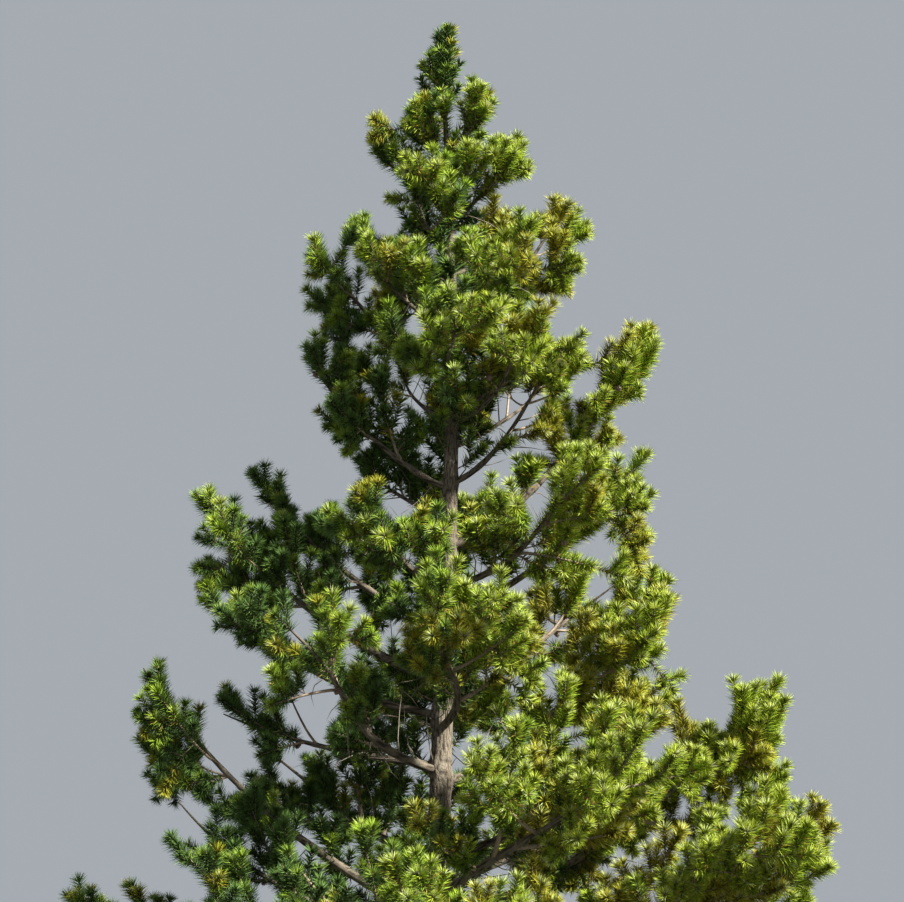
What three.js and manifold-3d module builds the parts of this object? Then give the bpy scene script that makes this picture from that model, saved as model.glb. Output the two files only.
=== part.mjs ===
// A pine tree grown in the open, from its root flare to its leading shoot.
// Millimetres, +Z up, origin at the middle of the flat cut under the trunk.
// Seen from the front, the viewer looks along +Y and +X is to the right.
//
// The trunk stays whole from the ground to the foot of the leading shoot. Boughs rise from it in
// open whorls and sweep up at their ends. Each mass of needles is one solid: a stem with side sprays
// set along it by a seeded rule, each a slim core that needles larger than life stand out of.

import * as THREE from 'three';
import { mergeVertices } from 'three/addons/utils/BufferGeometryUtils.js';
import Module from 'manifold-3d';

const wasm = await Module();
wasm.setup();

// Trunk
const TREE_HEIGHT = 12000;
const TRUNK_TOP = 11050;
const TRUNK_TAPER = 0.744;
const TRUNK_RADIUS_AT_1M = 22.4;
const FLARE_SPREAD = 95;
const FLARE_HEIGHT = 300;
const ROOT_LOBES = 5;
const ROOT_LOBE_DEPTH = 0.2;
const TRUNK_SIDES = 10;
const TRUNK_RINGS = 18;
const BEND_TO_RIGHT = 150;
const LEAN_TO_RIGHT = 80;

// Limbs: a bough and the stem that carries on from it into its mass follow one curve
const LIMB_RADIUS_FOOT = 4;
const LIMB_RADIUS_PER_METRE = 12;
const LIMB_TAPER = 0.85;
const LIMB_BELLY = 0.22;
const LIMB_LIFT = 1.35;
const LIMB_SWAY = 0.05;
const BOUGH_SHARE = 0.38;
const JOINT_GAP = 0.3;
const TWIG_TIP = 5;
const CONE_SHARE = 0.6;

// Sprays of needles along each limb
const SPRAY_SPACING = 400;
const SPRAY_SPREAD = 0.47;
const SPRAY_SHORTEST = 420;
const SPRAY_LIFT = 1.4;
const SPRAY_CORE = 70;
const CORE_SIDES = 4;
const FIRST_SPRAY = 0.22;
const MOST_SPRAYS = 7;
const NEEDLE_REACH = 215;
const NEEDLE_LEAN = 95;
const NEEDLE_SPACING = 300;
const LEADER_SLIMNESS = 0.6;
const LEADER_RING = 6;
const TIP_LEAFY_SHARE = 0.5;
const SPRAY_LEAFY_SHARE = 0.8;
const LEAFY_LENGTH = 950;
const SPACE_GAP = 4;
const NEEDLED_APART = 0.42;
const ATTEMPTS = 7;
const HABITS = [
  { turning: 1, rising: 0, size: 1 },
  { turning: 0.45, rising: -0.4, size: 0.78 },
  { turning: 0.4, rising: 0.6, size: 1 },
];

// Cones
const CONE_LENGTH = 80;
const CONE_RADIUS = 26;
const CONE_BEARING_LENGTH = 2000;

const BARK = { color: 0x6b5a4a, roughness: 0.95, metalness: 0 };
const NEEDLES = { color: 0x5f7f2a, roughness: 0.6, metalness: 0 };

// Each limb: name, height of its foot, heading in degrees (0 right, 90 away, 180 left, 270 towards
// the viewer), horizontal reach, rise from foot to tip, and whether its bare part is a bough.
const LIMBS = [
  ['left_crook', 5850, 182, 2230, 1700, true],
  ['right_tall', 7060, 5, 1850, 2140, true],
  ['right_arch', 6500, 352, 1860, 1420, true],
  ['right_elbow', 4950, 8, 2070, 1950, true],
  ['left_sweep', 3800, 186, 2600, 2130, true],
  ['right_sweep', 3750, 4, 3120, 2180, true],
  ['right_fork', 7650, 345, 1150, 1450, false],
  ['left_upper', 7600, 177, 1330, 1300, false],
  ['front_right_great', 3950, 308, 2800, 1250, false],
  ['right_low', 2550, 356, 3480, 2200, false],
  ['left_low', 2300, 178, 3260, 1700, false],
  ['crown_right', 10750, 350, 340, 620, false],
  ['crown_left', 10300, 187, 720, 500, false],
  ['crown_left_spur', 9850, 165, 520, 300, false],
  ['crown_right_arm', 10120, 4, 660, 860, false],
  ['upper_right', 9050, 354, 1060, 1200, false],
  ['upper_left', 8720, 180, 1300, 1160, false],
  ['crown_front', 10600, 238, 430, 640, false],
  ['upper_left_spur', 9300, 190, 860, 800, false],
  ['upper_front', 10080, 292, 640, 580, false],
  ['upper_front_left', 9800, 232, 760, 640, false],
  ['upper_back_right', 9600, 48, 900, 700, false],
  ['high_front_right', 9150, 318, 1060, 780, false],
  ['high_front_left', 8950, 224, 1100, 780, false],
  ['high_back', 9050, 98, 1120, 820, false],
  ['mid_front', 8350, 268, 1250, 820, false],
  ['mid_front_right', 8200, 312, 1320, 860, false],
  ['mid_back', 8150, 108, 1400, 900, false],
  ['mid_back_right', 8000, 52, 1450, 950, false],
  ['mid_back_left', 7350, 148, 1000, 650, false],
  ['crook_upper', 6350, 166, 1860, 1550, false],
  ['front_left_arm', 6700, 236, 1600, 720, false],
  ['front_right_arm', 6700, 318, 1850, 900, false],
  ['back_arm', 7000, 80, 1800, 920, false],
  ['back_right_arm', 5950, 42, 2200, 1050, false],
  ['front_bough', 5450, 272, 2200, 1000, false],
  ['front_left_bough', 5050, 236, 2550, 1100, false],
  ['back_bough', 5350, 102, 2450, 1050, false],
  ['left_spur', 5100, 171, 1980, 500, false],
  ['left_hang', 5550, 189, 2200, 1020, false],
  ['front_right_spray', 4300, 334, 2350, 1200, false],
  ['right_lower_front', 3100, 350, 3400, 1300, false],
  ['left_lower_front', 3450, 200, 2350, 1250, false],
  ['right_upper_spur', 8350, 20, 1150, 900, false],
  ['back_left_bough', 4350, 132, 2500, 1150, false],
  ['back_right_bough', 4050, 56, 2900, 1150, false],
  ['low_front_left', 3050, 213, 2800, 1150, false],
  ['low_front', 2750, 268, 3150, 1150, false],
  ['low_front_right', 1950, 318, 3450, 1050, false],
  ['low_back', 2500, 92, 3250, 1150, false],
  ['low_back_right', 1750, 38, 3450, 950, false],
  ['low_back_left', 1900, 146, 3400, 1000, false],
];

const UP = new THREE.Vector3(0, 0, 1);
const FORWARD = new THREE.Vector3(0, 1, 0);
const LEADER = LIMBS.length;

// The same number between 0 and 1 for the same three whole numbers.
function chance(limb, branch, draw) {
  const turn = Math.sin(limb * 127.1 + branch * 311.7 + draw * 74.7) * 43758.5453;
  return turn - Math.floor(turn);
}

function spread(limb, branch, draw, low, high) {
  return low + (high - low) * chance(limb, branch, draw);
}

function trunkAt(height) {
  const share = height / TREE_HEIGHT;
  const bend = BEND_TO_RIGHT * Math.sin(Math.PI * share ** 2.08);
  return new THREE.Vector3(bend + LEAN_TO_RIGHT * share, 40 * Math.sin(Math.PI * share), height);
}

function trunkRadiusAt(height) {
  const metresToTip = (TREE_HEIGHT - height) / 1000;
  return TRUNK_RADIUS_AT_1M * metresToTip ** TRUNK_TAPER + FLARE_SPREAD * Math.exp(-height / FLARE_HEIGHT);
}

// A limb as a curve: at(0) is on the trunk's axis and at(1) is its tip.
function makeLimb([name, foot, heading, reach, rise, hasBough], index) {
  const angle = THREE.MathUtils.degToRad(heading);
  const out = new THREE.Vector3(Math.cos(angle), Math.sin(angle), 0);
  const across = new THREE.Vector3(-Math.sin(angle), Math.cos(angle), 0);
  const sway = LIMB_SWAY * reach * (chance(index, 0, 9) < 0.5 ? -1 : 1);
  const length = Math.hypot(reach, rise);
  const at = (t) => trunkAt(foot)
    .addScaledVector(out, reach * t * (1 + LIMB_BELLY * (1 - t)))
    .addScaledVector(UP, rise * t ** LIMB_LIFT)
    .addScaledVector(across, sway * Math.sin(2 * Math.PI * t));
  const footRadius = LIMB_RADIUS_FOOT + LIMB_RADIUS_PER_METRE * length / 1000;
  const radiusAt = (t) => footRadius * (1 - t) ** LIMB_TAPER + TWIG_TIP;
  return { name, index, out, across, length, at, radiusAt, hasBough, ...needling(length, TIP_LEAFY_SHARE) };
}

function makeLeader() {
  const base = trunkAt(TRUNK_TOP);
  const height = TREE_HEIGHT - TRUNK_TOP - JOINT_GAP;
  return {
    name: 'leader',
    index: LEADER,
    out: new THREE.Vector3(1, 0, 0),
    across: FORWARD.clone(),
    length: height,
    at: (t) => base.clone().addScaledVector(UP, height * t + JOINT_GAP),
    radiusAt: (t) => THREE.MathUtils.lerp(trunkRadiusAt(TRUNK_TOP), TWIG_TIP, t),
    hasBough: false,
    ...needling(height, SPRAY_LEAFY_SHARE),
    needleReach: NEEDLE_REACH * LEADER_SLIMNESS,
  };
}

// Where a limb's mass of needles takes over from its bough, as a share of the limb.
function massStart(limb) {
  return limb.hasBough ? BOUGH_SHARE : 0;
}

function tangentAt(limb, t) {
  const step = 0.01;
  const behind = limb.at(Math.max(0, t - step));
  return limb.at(Math.min(1, t + step)).sub(behind).normalize();
}

// A capsule stands for a piece while the masses are kept apart.
function capsule(owner, from, to, radius) {
  return { owner, from, to, radius };
}

function gapBetween(a, b) {
  const d1 = a.to.clone().sub(a.from);
  const d2 = b.to.clone().sub(b.from);
  const r = a.from.clone().sub(b.from);
  const aa = d1.dot(d1);
  const ee = d2.dot(d2);
  const bb = d1.dot(d2);
  const c = d1.dot(r);
  const f = d2.dot(r);
  const denom = aa * ee - bb * bb;
  let s = denom > 1e-9 ? THREE.MathUtils.clamp((bb * f - c * ee) / denom, 0, 1) : 0;
  let t = (bb * s + f) / ee;
  if (t < 0 || t > 1) {
    t = THREE.MathUtils.clamp(t, 0, 1);
    s = THREE.MathUtils.clamp((bb * t - c) / aa, 0, 1);
  }
  const near = a.from.clone().addScaledVector(d1, s);
  const far = b.from.clone().addScaledVector(d2, t);
  return near.distanceTo(far) - a.radius - b.radius;
}

const taken = [];

// Sprays of one mass may crowd each other a little, and keep right out of their neighbours' room.
function isFree(pieces) {
  return pieces.every((p) => taken.every((q) => {
    if (q.owner !== p.owner) return gapBetween(p, q) > SPACE_GAP;
    if (!p.reach || !q.reach) return true;
    return gapBetween(p, q) + p.radius + q.radius > NEEDLED_APART * (p.reach + q.reach);
  }));
}

function takeTrunk() {
  const step = TRUNK_TOP / 30;
  for (let height = 0; height < TRUNK_TOP; height += step) {
    taken.push(capsule('trunk', trunkAt(height), trunkAt(height + step * 0.9), trunkRadiusAt(height)));
  }
}

// The room that a limb or spray takes: its bare foot, and the needles round the rest of it.
function roomOf(owner, curve, bareParts) {
  const bare = 1 - curve.leafy;
  const cuts = Array.from({ length: bareParts + 1 }, (unused, k) => bare * k / bareParts);
  const foot = cuts.slice(1).map((to, k) => {
    const from = cuts[k];
    return capsule(owner, curve.at(from), curve.at(to), curve.radiusAt(from));
  });
  const middle = (1 + bare) / 2;
  const needled = [[bare + 0.2, middle + 0.1], [middle + 0.1, 0.95]].map(([from, to]) => ({
    ...capsule(owner, curve.at(from), curve.at(to), curve.needleReach * 0.85),
    reach: curve.needleReach,
  }));
  return [...foot, ...needled];
}

// Short sprays have shorter needles, and are needled along more of their length.
function needling(length, share) {
  return {
    leafy: Math.min(share, LEAFY_LENGTH * (0.8 + length / 4500) / length),
    needleReach: NEEDLE_REACH * Math.min(1, 0.68 + length / 2200),
  };
}

// A spray leaves its limb at a share of its length: by turns to one side, low down and upwards. Each
// further attempt at the same place is turned another way and is shorter.
function makeSpray(limb, order, count, attempt) {
  const draw = (slot, low, high) => spread(limb.index, order, slot + 7 * attempt, low, high);
  const { turning, rising, size } = HABITS[order % HABITS.length];
  const first = Math.max(FIRST_SPRAY, massStart(limb) + 0.05);
  const last = 1 - limb.leafy * 0.7;
  const shift = spread(limb.index, order, 1, -0.015, 0.015);
  const t = THREE.MathUtils.lerp(last, first, order / (count - 1)) + shift;
  const side = (order + attempt) % 2 === 0 ? 1 : -1;
  const turn = side * THREE.MathUtils.degToRad(draw(2, 38, 68) * turning);
  const tangent = tangentAt(limb, t);
  const flat = limb.out.clone().multiplyScalar(Math.cos(turn)).addScaledVector(limb.across, Math.sin(turn));
  const slope = Math.atan2(tangent.z, Math.hypot(tangent.x, tangent.y));
  const climb = slope * 0.5 + draw(3, -0.1, 0.4) + rising;
  const fullness = SPRAY_SPREAD * (1 - t) ** 0.8 * draw(4, 0.8, 1.15);
  const length = (fullness * limb.length + SPRAY_SHORTEST) * size * (1 - 0.08 * attempt);
  const foot = limb.at(t).addScaledVector(flat, -limb.radiusAt(t) * 0.5);
  return makeSprayCurve(foot, flat, Math.cos(climb), Math.sin(climb), length, limb.radiusAt(t) * 0.7, order);
}

// The leading shoot has a ring of shorter, slimmer shoots round its foot.
function makeLeaderSpray(limb, order, count) {
  const angle = 0.35 + 2 * Math.PI * order / count;
  const flat = new THREE.Vector3(Math.cos(angle), Math.sin(angle), 0);
  const foot = limb.at(0.08 + 0.2 * (order % 2));
  const spray = makeSprayCurve(foot, flat, 0.6, 0.8, spread(LEADER, order, 1, 400, 470), 8, order);
  return { ...spray, needleReach: spray.needleReach * LEADER_SLIMNESS };
}

function makeSprayCurve(foot, flat, forward, upward, length, footRadius, seed) {
  const at = (u) => foot.clone()
    .addScaledVector(flat, length * forward * u)
    .addScaledVector(UP, length * upward * u ** SPRAY_LIFT);
  return { at, length, flat, seed, radiusAt: () => footRadius, ...needling(length, SPRAY_LEAFY_SHARE) };
}

function sprayCount(limb) {
  if (limb.index === LEADER) return LEADER_RING;
  return Math.min(MOST_SPRAYS, Math.round(2.2 + (1 - massStart(limb) * 0.6) * limb.length / SPRAY_SPACING));
}

// Grows every mass together, from the tips inwards, so that neighbours share the room fairly.
function growMasses(limbs) {
  const masses = limbs.map((limb) => ({ limb, sprays: [] }));
  takeTrunk();
  limbs.forEach((limb) => taken.push(...roomOf(limb.index, limb, 6)));
  const most = Math.max(...limbs.map(sprayCount));
  for (let order = 0; order < most; order += 1) {
    masses.filter((mass) => order < sprayCount(mass.limb)).forEach((mass) => growSpray(mass, order));
  }
  return masses;
}

function growSpray(mass, order) {
  const { limb } = mass;
  const make = limb.index === LEADER ? makeLeaderSpray : makeSpray;
  for (let attempt = 0; attempt < ATTEMPTS; attempt += 1) {
    const spray = make(limb, order, sprayCount(limb), attempt);
    const room = roomOf(limb.index, spray, 1);
    if (isFree(room)) {
      taken.push(...room);
      mass.sprays.push(spray);
      return;
    }
  }
}

function toSolid(geometry) {
  geometry.deleteAttribute('normal');
  geometry.deleteAttribute('uv');
  const merged = mergeVertices(geometry, 1e-3);
  return new wasm.Manifold(new wasm.Mesh({
    numProp: 3,
    vertProperties: merged.attributes.position.array,
    triVerts: new Uint32Array(merged.index.array),
  }));
}

function toMesh(name, solid, look) {
  const cut = solid.getMesh();
  const geometry = new THREE.BufferGeometry();
  geometry.setAttribute('position', new THREE.BufferAttribute(cut.vertProperties, 3));
  geometry.setIndex(new THREE.BufferAttribute(cut.triVerts, 1));
  const mesh = new THREE.Mesh(geometry, new THREE.MeshStandardMaterial(look));
  mesh.name = name;
  return mesh;
}

// Bends an upright unit cylinder or cone along a curve. ringAt gives each ring's share of the curve
// and each of its corners' distance from it and lean along it.
function alongCurve(geometry, at, across, ringAt, rings, sides) {
  const position = geometry.attributes.position;
  const step = 0.01;
  for (let i = 0; i < position.count; i += 1) {
    const ring = Math.round((position.getY(i) + 0.5) * rings);
    const isMiddle = Math.hypot(position.getX(i), position.getZ(i)) < 1e-6;
    const angle = Math.atan2(position.getZ(i), position.getX(i));
    const corner = (Math.round(angle / (2 * Math.PI / sides)) + sides) % sides;
    const { t, radius, lean } = ringAt(ring, corner, angle);
    const behind = at(Math.max(0, t - step));
    const tangent = at(Math.min(1, t + step)).sub(behind).normalize();
    const u = across.clone().addScaledVector(tangent, -across.dot(tangent)).normalize();
    const w = new THREE.Vector3().crossVectors(u, tangent);
    const outwards = isMiddle ? 0 : radius;
    const point = at(t).addScaledVector(tangent, lean)
      .addScaledVector(u, outwards * Math.cos(angle))
      .addScaledVector(w, outwards * Math.sin(angle));
    position.setXYZ(i, point.x, point.y, point.z);
  }
  return toSolid(geometry);
}

// The trunk's rings are level, so its cut at the ground and its top are flat.
function trunkSolid(extra) {
  const cylinder = new THREE.CylinderGeometry(1, 1, 1, TRUNK_SIDES, TRUNK_RINGS);
  const position = cylinder.attributes.position;
  for (let i = 0; i < position.count; i += 1) {
    const height = TRUNK_TOP * (position.getY(i) + 0.5) ** 1.35;
    const isMiddle = Math.hypot(position.getX(i), position.getZ(i)) < 1e-6;
    const angle = Math.atan2(position.getX(i), position.getZ(i));
    const lobe = ROOT_LOBE_DEPTH * Math.cos(ROOT_LOBES * angle) * Math.exp(-height / FLARE_HEIGHT);
    const radius = isMiddle ? 0 : trunkRadiusAt(height) * (1 + lobe) + extra;
    const middle = trunkAt(height);
    position.setXYZ(i, middle.x + radius * Math.sin(angle), middle.y - radius * Math.cos(angle), height);
  }
  return toSolid(cylinder);
}

function boughSolid(limb) {
  const [sides, rings] = [6, 4];
  const cylinder = new THREE.CylinderGeometry(1, 1, 1, sides, rings);
  const ringAt = (ring) => {
    const t = BOUGH_SHARE * ring / rings;
    return { t, radius: limb.radiusAt(t), lean: 0 };
  };
  return alongCurve(cylinder, limb.at, limb.across, ringAt, rings, sides);
}

// Even rings between two poles, for a piece whose foot comes to a point inside its stem.
function spindleGeometry(sides, rings) {
  const ball = new THREE.SphereGeometry(1, sides, rings);
  const position = ball.attributes.position;
  for (let i = 0; i < position.count; i += 1) {
    position.setY(i, 0.5 - Math.acos(THREE.MathUtils.clamp(position.getY(i), -1, 1)) / Math.PI);
  }
  return ball;
}

// A core with any bare rings first, then rings whose corners are by turns slim and drawn out into
// needles that lean towards the tip.
function needledSolid(geometry, curve, across, from, bareRings, needleRings, seed) {
  const rings = bareRings + needleRings;
  const ringAt = (ring, corner) => {
    if (ring < bareRings) {
      const t = THREE.MathUtils.lerp(from, 1 - curve.leafy, ring / bareRings);
      return { t, radius: curve.radiusAt(t), lean: 0 };
    }
    if (ring === rings) return { t: 1, radius: 0, lean: 0 };
    const order = ring - bareRings;
    const t = 1 - curve.leafy * (1 - (order + 0.15) / needleRings);
    const isEnd = order === 0 || ring === rings - 1;
    const size = spread(seed, order, corner, 0.8, 1.1) * (isEnd ? 0.82 : 1);
    const isNeedle = (ring + corner) % 2 === 0;
    const core = SPRAY_CORE * curve.needleReach / NEEDLE_REACH * (1 - 0.5 * order / needleRings);
    return isNeedle
      ? { t, radius: curve.needleReach * size, lean: NEEDLE_LEAN * size }
      : { t, radius: core, lean: 0 };
  };
  return alongCurve(geometry, curve.at, across, ringAt, rings, CORE_SIDES);
}

function needleRingsOf(curve) {
  return Math.max(2, Math.round(curve.leafy * curve.length / NEEDLE_SPACING));
}

function stemSolid(limb) {
  const start = massStart(limb) + (limb.hasBough ? JOINT_GAP / limb.length : 0);
  const bareRings = Math.max(1, Math.round(limb.length * (1 - limb.leafy - start) / 800));
  const needleRings = needleRingsOf(limb);
  const cone = new THREE.ConeGeometry(1, 1, CORE_SIDES, bareRings + needleRings);
  return needledSolid(cone, limb, limb.across, start, bareRings, needleRings, limb.index);
}

function spraySolid(spray, owner) {
  const across = new THREE.Vector3().crossVectors(UP, spray.flat).normalize();
  const needleRings = needleRingsOf(spray);
  const spindle = spindleGeometry(CORE_SIDES, 1 + needleRings);
  return needledSolid(spindle, spray, across, 0, 1, needleRings, owner * 20 + spray.seed);
}

// A ripe cone hangs back along the twig that bears it.
function coneSolid(limb, t) {
  const body = new THREE.SphereGeometry(1, 5, 3);
  body.scale(CONE_RADIUS, CONE_LENGTH / 2, CONE_RADIUS);
  const lean = limb.out.clone().multiplyScalar(0.4).addScaledVector(UP, -1).normalize();
  const hang = new THREE.Quaternion().setFromUnitVectors(FORWARD, lean);
  const middle = limb.at(t).addScaledVector(lean, CONE_LENGTH * 0.42);
  body.applyQuaternion(hang).translate(middle.x, middle.y, middle.z);
  return toSolid(body);
}

function largestPiece(solid) {
  return solid.decompose().reduce((best, piece) => (piece.volume() > best.volume() ? piece : best));
}

function massSolid(mass, trunkSleeve) {
  const { limb } = mass;
  const pieces = [stemSolid(limb), ...mass.sprays.map((spray) => spraySolid(spray, limb.index))];
  if (limb.length > CONE_BEARING_LENGTH) pieces.push(coneSolid(limb, CONE_SHARE));
  const joined = wasm.Manifold.union(pieces);
  return largestPiece(limb.index === LEADER || limb.hasBough ? joined : joined.subtract(trunkSleeve));
}

const limbs = [...LIMBS.map(makeLimb), makeLeader()];
const masses = growMasses(limbs);
const sleeve = trunkSolid(JOINT_GAP);

const tree = new THREE.Group();
tree.name = 'pine_tree';
tree.add(toMesh('trunk', trunkSolid(0), BARK));
limbs.filter((limb) => limb.hasBough).forEach((limb) => {
  tree.add(toMesh(`bough_${limb.name}`, largestPiece(boughSolid(limb).subtract(sleeve)), BARK));
});
masses.forEach((mass) => tree.add(toMesh(`mass_${mass.limb.name}`, massSolid(mass, sleeve), NEEDLES)));

export default tree;
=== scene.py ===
"""A pine tree grown in the open: bark, twigs, needles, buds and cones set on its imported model.

Metres, +Z up, origin in the middle of the cut under the trunk. The limbs and their sprays follow the
same seeded rule as the solids do, and are carried on here to shoots, needles, buds and cones.
"""
import dataclasses
import functools
import math

import bmesh
import bpy
import numpy as np
from bpy.props import FloatProperty, FloatVectorProperty, IntProperty, PointerProperty
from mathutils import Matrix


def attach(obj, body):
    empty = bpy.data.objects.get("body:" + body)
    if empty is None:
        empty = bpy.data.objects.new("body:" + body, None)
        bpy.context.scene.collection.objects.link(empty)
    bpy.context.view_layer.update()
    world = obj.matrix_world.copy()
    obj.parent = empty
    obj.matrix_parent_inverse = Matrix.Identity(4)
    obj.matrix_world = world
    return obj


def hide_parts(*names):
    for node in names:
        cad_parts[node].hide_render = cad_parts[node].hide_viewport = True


bl_info = {
    "name": "Pine tree",
    "version": (1, 0, 0),
    "blender": (4, 5, 0),
    "location": "3D View > Sidebar > Pine tree",
    "description": "Dresses a packed pine tree in bark, twigs, needles, buds and cones",
    "category": "Object",
}

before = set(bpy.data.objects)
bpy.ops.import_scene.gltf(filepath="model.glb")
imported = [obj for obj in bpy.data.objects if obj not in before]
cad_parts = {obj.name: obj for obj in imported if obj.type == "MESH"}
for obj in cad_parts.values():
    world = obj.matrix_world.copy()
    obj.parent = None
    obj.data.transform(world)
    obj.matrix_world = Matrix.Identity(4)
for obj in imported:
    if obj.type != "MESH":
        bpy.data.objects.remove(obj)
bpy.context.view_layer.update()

# The rule of growth
TREE_HEIGHT = 12.0
TRUNK_TOP = 11.05
TRUNK_TAPER = 0.744
TRUNK_RADIUS_AT_1M = 0.0224
FLARE_SPREAD = 0.095
FLARE_HEIGHT = 0.3
ROOT_LOBES = 5
ROOT_LOBE_DEPTH = 0.2
BEND_TO_RIGHT = 0.15
BEND_SKEW = 2.08
BEND_AWAY = 0.04
LEAN_TO_RIGHT = 0.08
LIMB_RADIUS_FOOT = 0.004
LIMB_RADIUS_PER_METRE = 0.012
LIMB_TAPER = 0.85
LIMB_BELLY = 0.22
LIMB_LIFT = 1.35
LIMB_SWAY = 0.05
BOUGH_SHARE = 0.38
JOINT_GAP = 0.0003
TWIG_TIP = 0.005
SPRAY_TIP = 0.003
SPRAY_TAPER = 0.7
TIP_DRAWN_IN = 0.08
CONE_SHARE = 0.6
CONE_BEARING_LENGTH = 2.0
SPRAY_SPACING = 0.4
SPRAY_SPREAD = 0.47
SPRAY_SHORTEST = 0.42
SPRAY_LIFT = 1.4
SPRAY_TURNS = (38, 68)
SPRAY_CLIMBS = (-0.1, 0.4)
SPRAY_FULLNESS = (0.8, 1.15)
SPRAY_THINNING = 0.8
SPRAY_JITTER = 0.015
SLOPE_KEPT = 0.5
LOST_PER_ATTEMPT = 0.08
FIRST_SPRAY = 0.22
MOST_SPRAYS = 7
NEEDLE_REACH = 0.215
SHORT_REACH = 0.68
REACH_GAIN_LENGTH = 2.2
LEADER_SLIMNESS = 0.6
LEADER_RING = 6
LEADER_RING_TURN = 0.35
LEADER_SPRAY_LENGTHS = (0.4, 0.47)
TIP_LEAFY_SHARE = 0.5
SPRAY_LEAFY_SHARE = 0.8
LEAFY_LENGTH = 0.95
SHORT_LEAFY = 0.8
LEAFY_GAIN_LENGTH = 4.5
SPACE_GAP = 0.004
NEEDLED_APART = 0.42
ATTEMPTS = 7
TRUNK_PARTS = 30

# Growth finer than the solids': lengths in metres, turns in degrees
BRANCHLET_TURNS = (35, 75)
BRANCHLET_CLIMBS = (-0.2, 0.75)
BRANCHLET_LENGTHS = (0.32, 0.42)
BRANCHLET_RADIUS = 0.006
TRUNK_TWIG_LENGTHS = (0.4, 0.6)
TRUNK_TWIGS_FROM = 2.1
TRUNK_TWIGS_APART = 0.07
THIN_TWIG_RADIUS = 0.007
FILLING_TWIGS = 3
FILLING_LENGTHS = (0.34, 0.75)
FILLING_LEAST_AIM = 0.15
SHARE_STEP = 0.05
SHARES_LOOKED_AT = np.linspace(SHARE_STEP, 1, 20)
LEAST_KEPT = 0.4
CURVE = ("start", "run", "lift")
LEADER_WHORLS = 1.6
LEADER_EXTRA_SHOOTS = 2
CUP_OPENING = 34
WHORL_OPENING = 18
OPENING_NOISE = 7
SHOOT_RISE = 0.4
SHOOT_SIZES = (0.75, 1.12)
SHOOT_LIFTS = (0.1, 0.4)
SHOOT_BARE_SHARE = 0.3
END_SHOOT_LENGTH = 0.24
SLIMMEST = 0.85
INNER_DENSITY = 0.6
INNER_BREADTH = 1.45
TUFT_SHARE = 0.3
NEEDLE_LEAN_AT_FOOT = 70
NEEDLE_LEAN_LOST = 16
NEEDLE_LEAN_NOISE = 6
NEEDLE_RISE = 0.12
NEEDLE_SIZES = (0.9, 1.05)
TUFT_NEEDLE_SIZE = 0.9
RINGS_LOW = 1.35
LIMB_PLATES_ROUND = 6
LIMB_PLATES_PER_METRE = 16
BUD_LENGTH = 0.034
BUD_WAIST_AT = 0.012
BUD_RADIUS = 0.0056
TRUNK_SIDES, TRUNK_CUTS = 84, (89, 3)
LIMB_SIDES, LIMB_CUTS = 12, 39
DEAD_TWIGS_APART = 0.1
DEAD_TWIG_LENGTHS = (0.14, 0.5)
DEAD_TWIGS_WITHIN = 0.72
CONE_SCALES = 30
CONE_SCALE_SIZE = (0.0105, 0.0046, 0.02)

# Seeds, one for each kind of draw
TRUNK_TWIG_SEED = 30
PLATE_SEED, SMALL_PLATE_SEED, LIMB_PLATE_SEED = 40, 43, 60
SHOOT_SEED = 100
DEAD_TWIG_SEED = 500
NEEDLE_SEED = 700
CONE_SEED = 900

# The crown's outside: how far it is from the trunk at the tip, and how much more for each metre down.
# Inside a share of that the crown counts as inner.
CROWN_RADIUS_AT_TIP = 0.4
CROWN_SPREAD = 0.31
INNER_CROWN = 0.5

# Heights between which the trunk shows bare from the front
TRUNK_WINDOWS = [(4.6, 5.5), (6.6, 7.7)]
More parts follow.
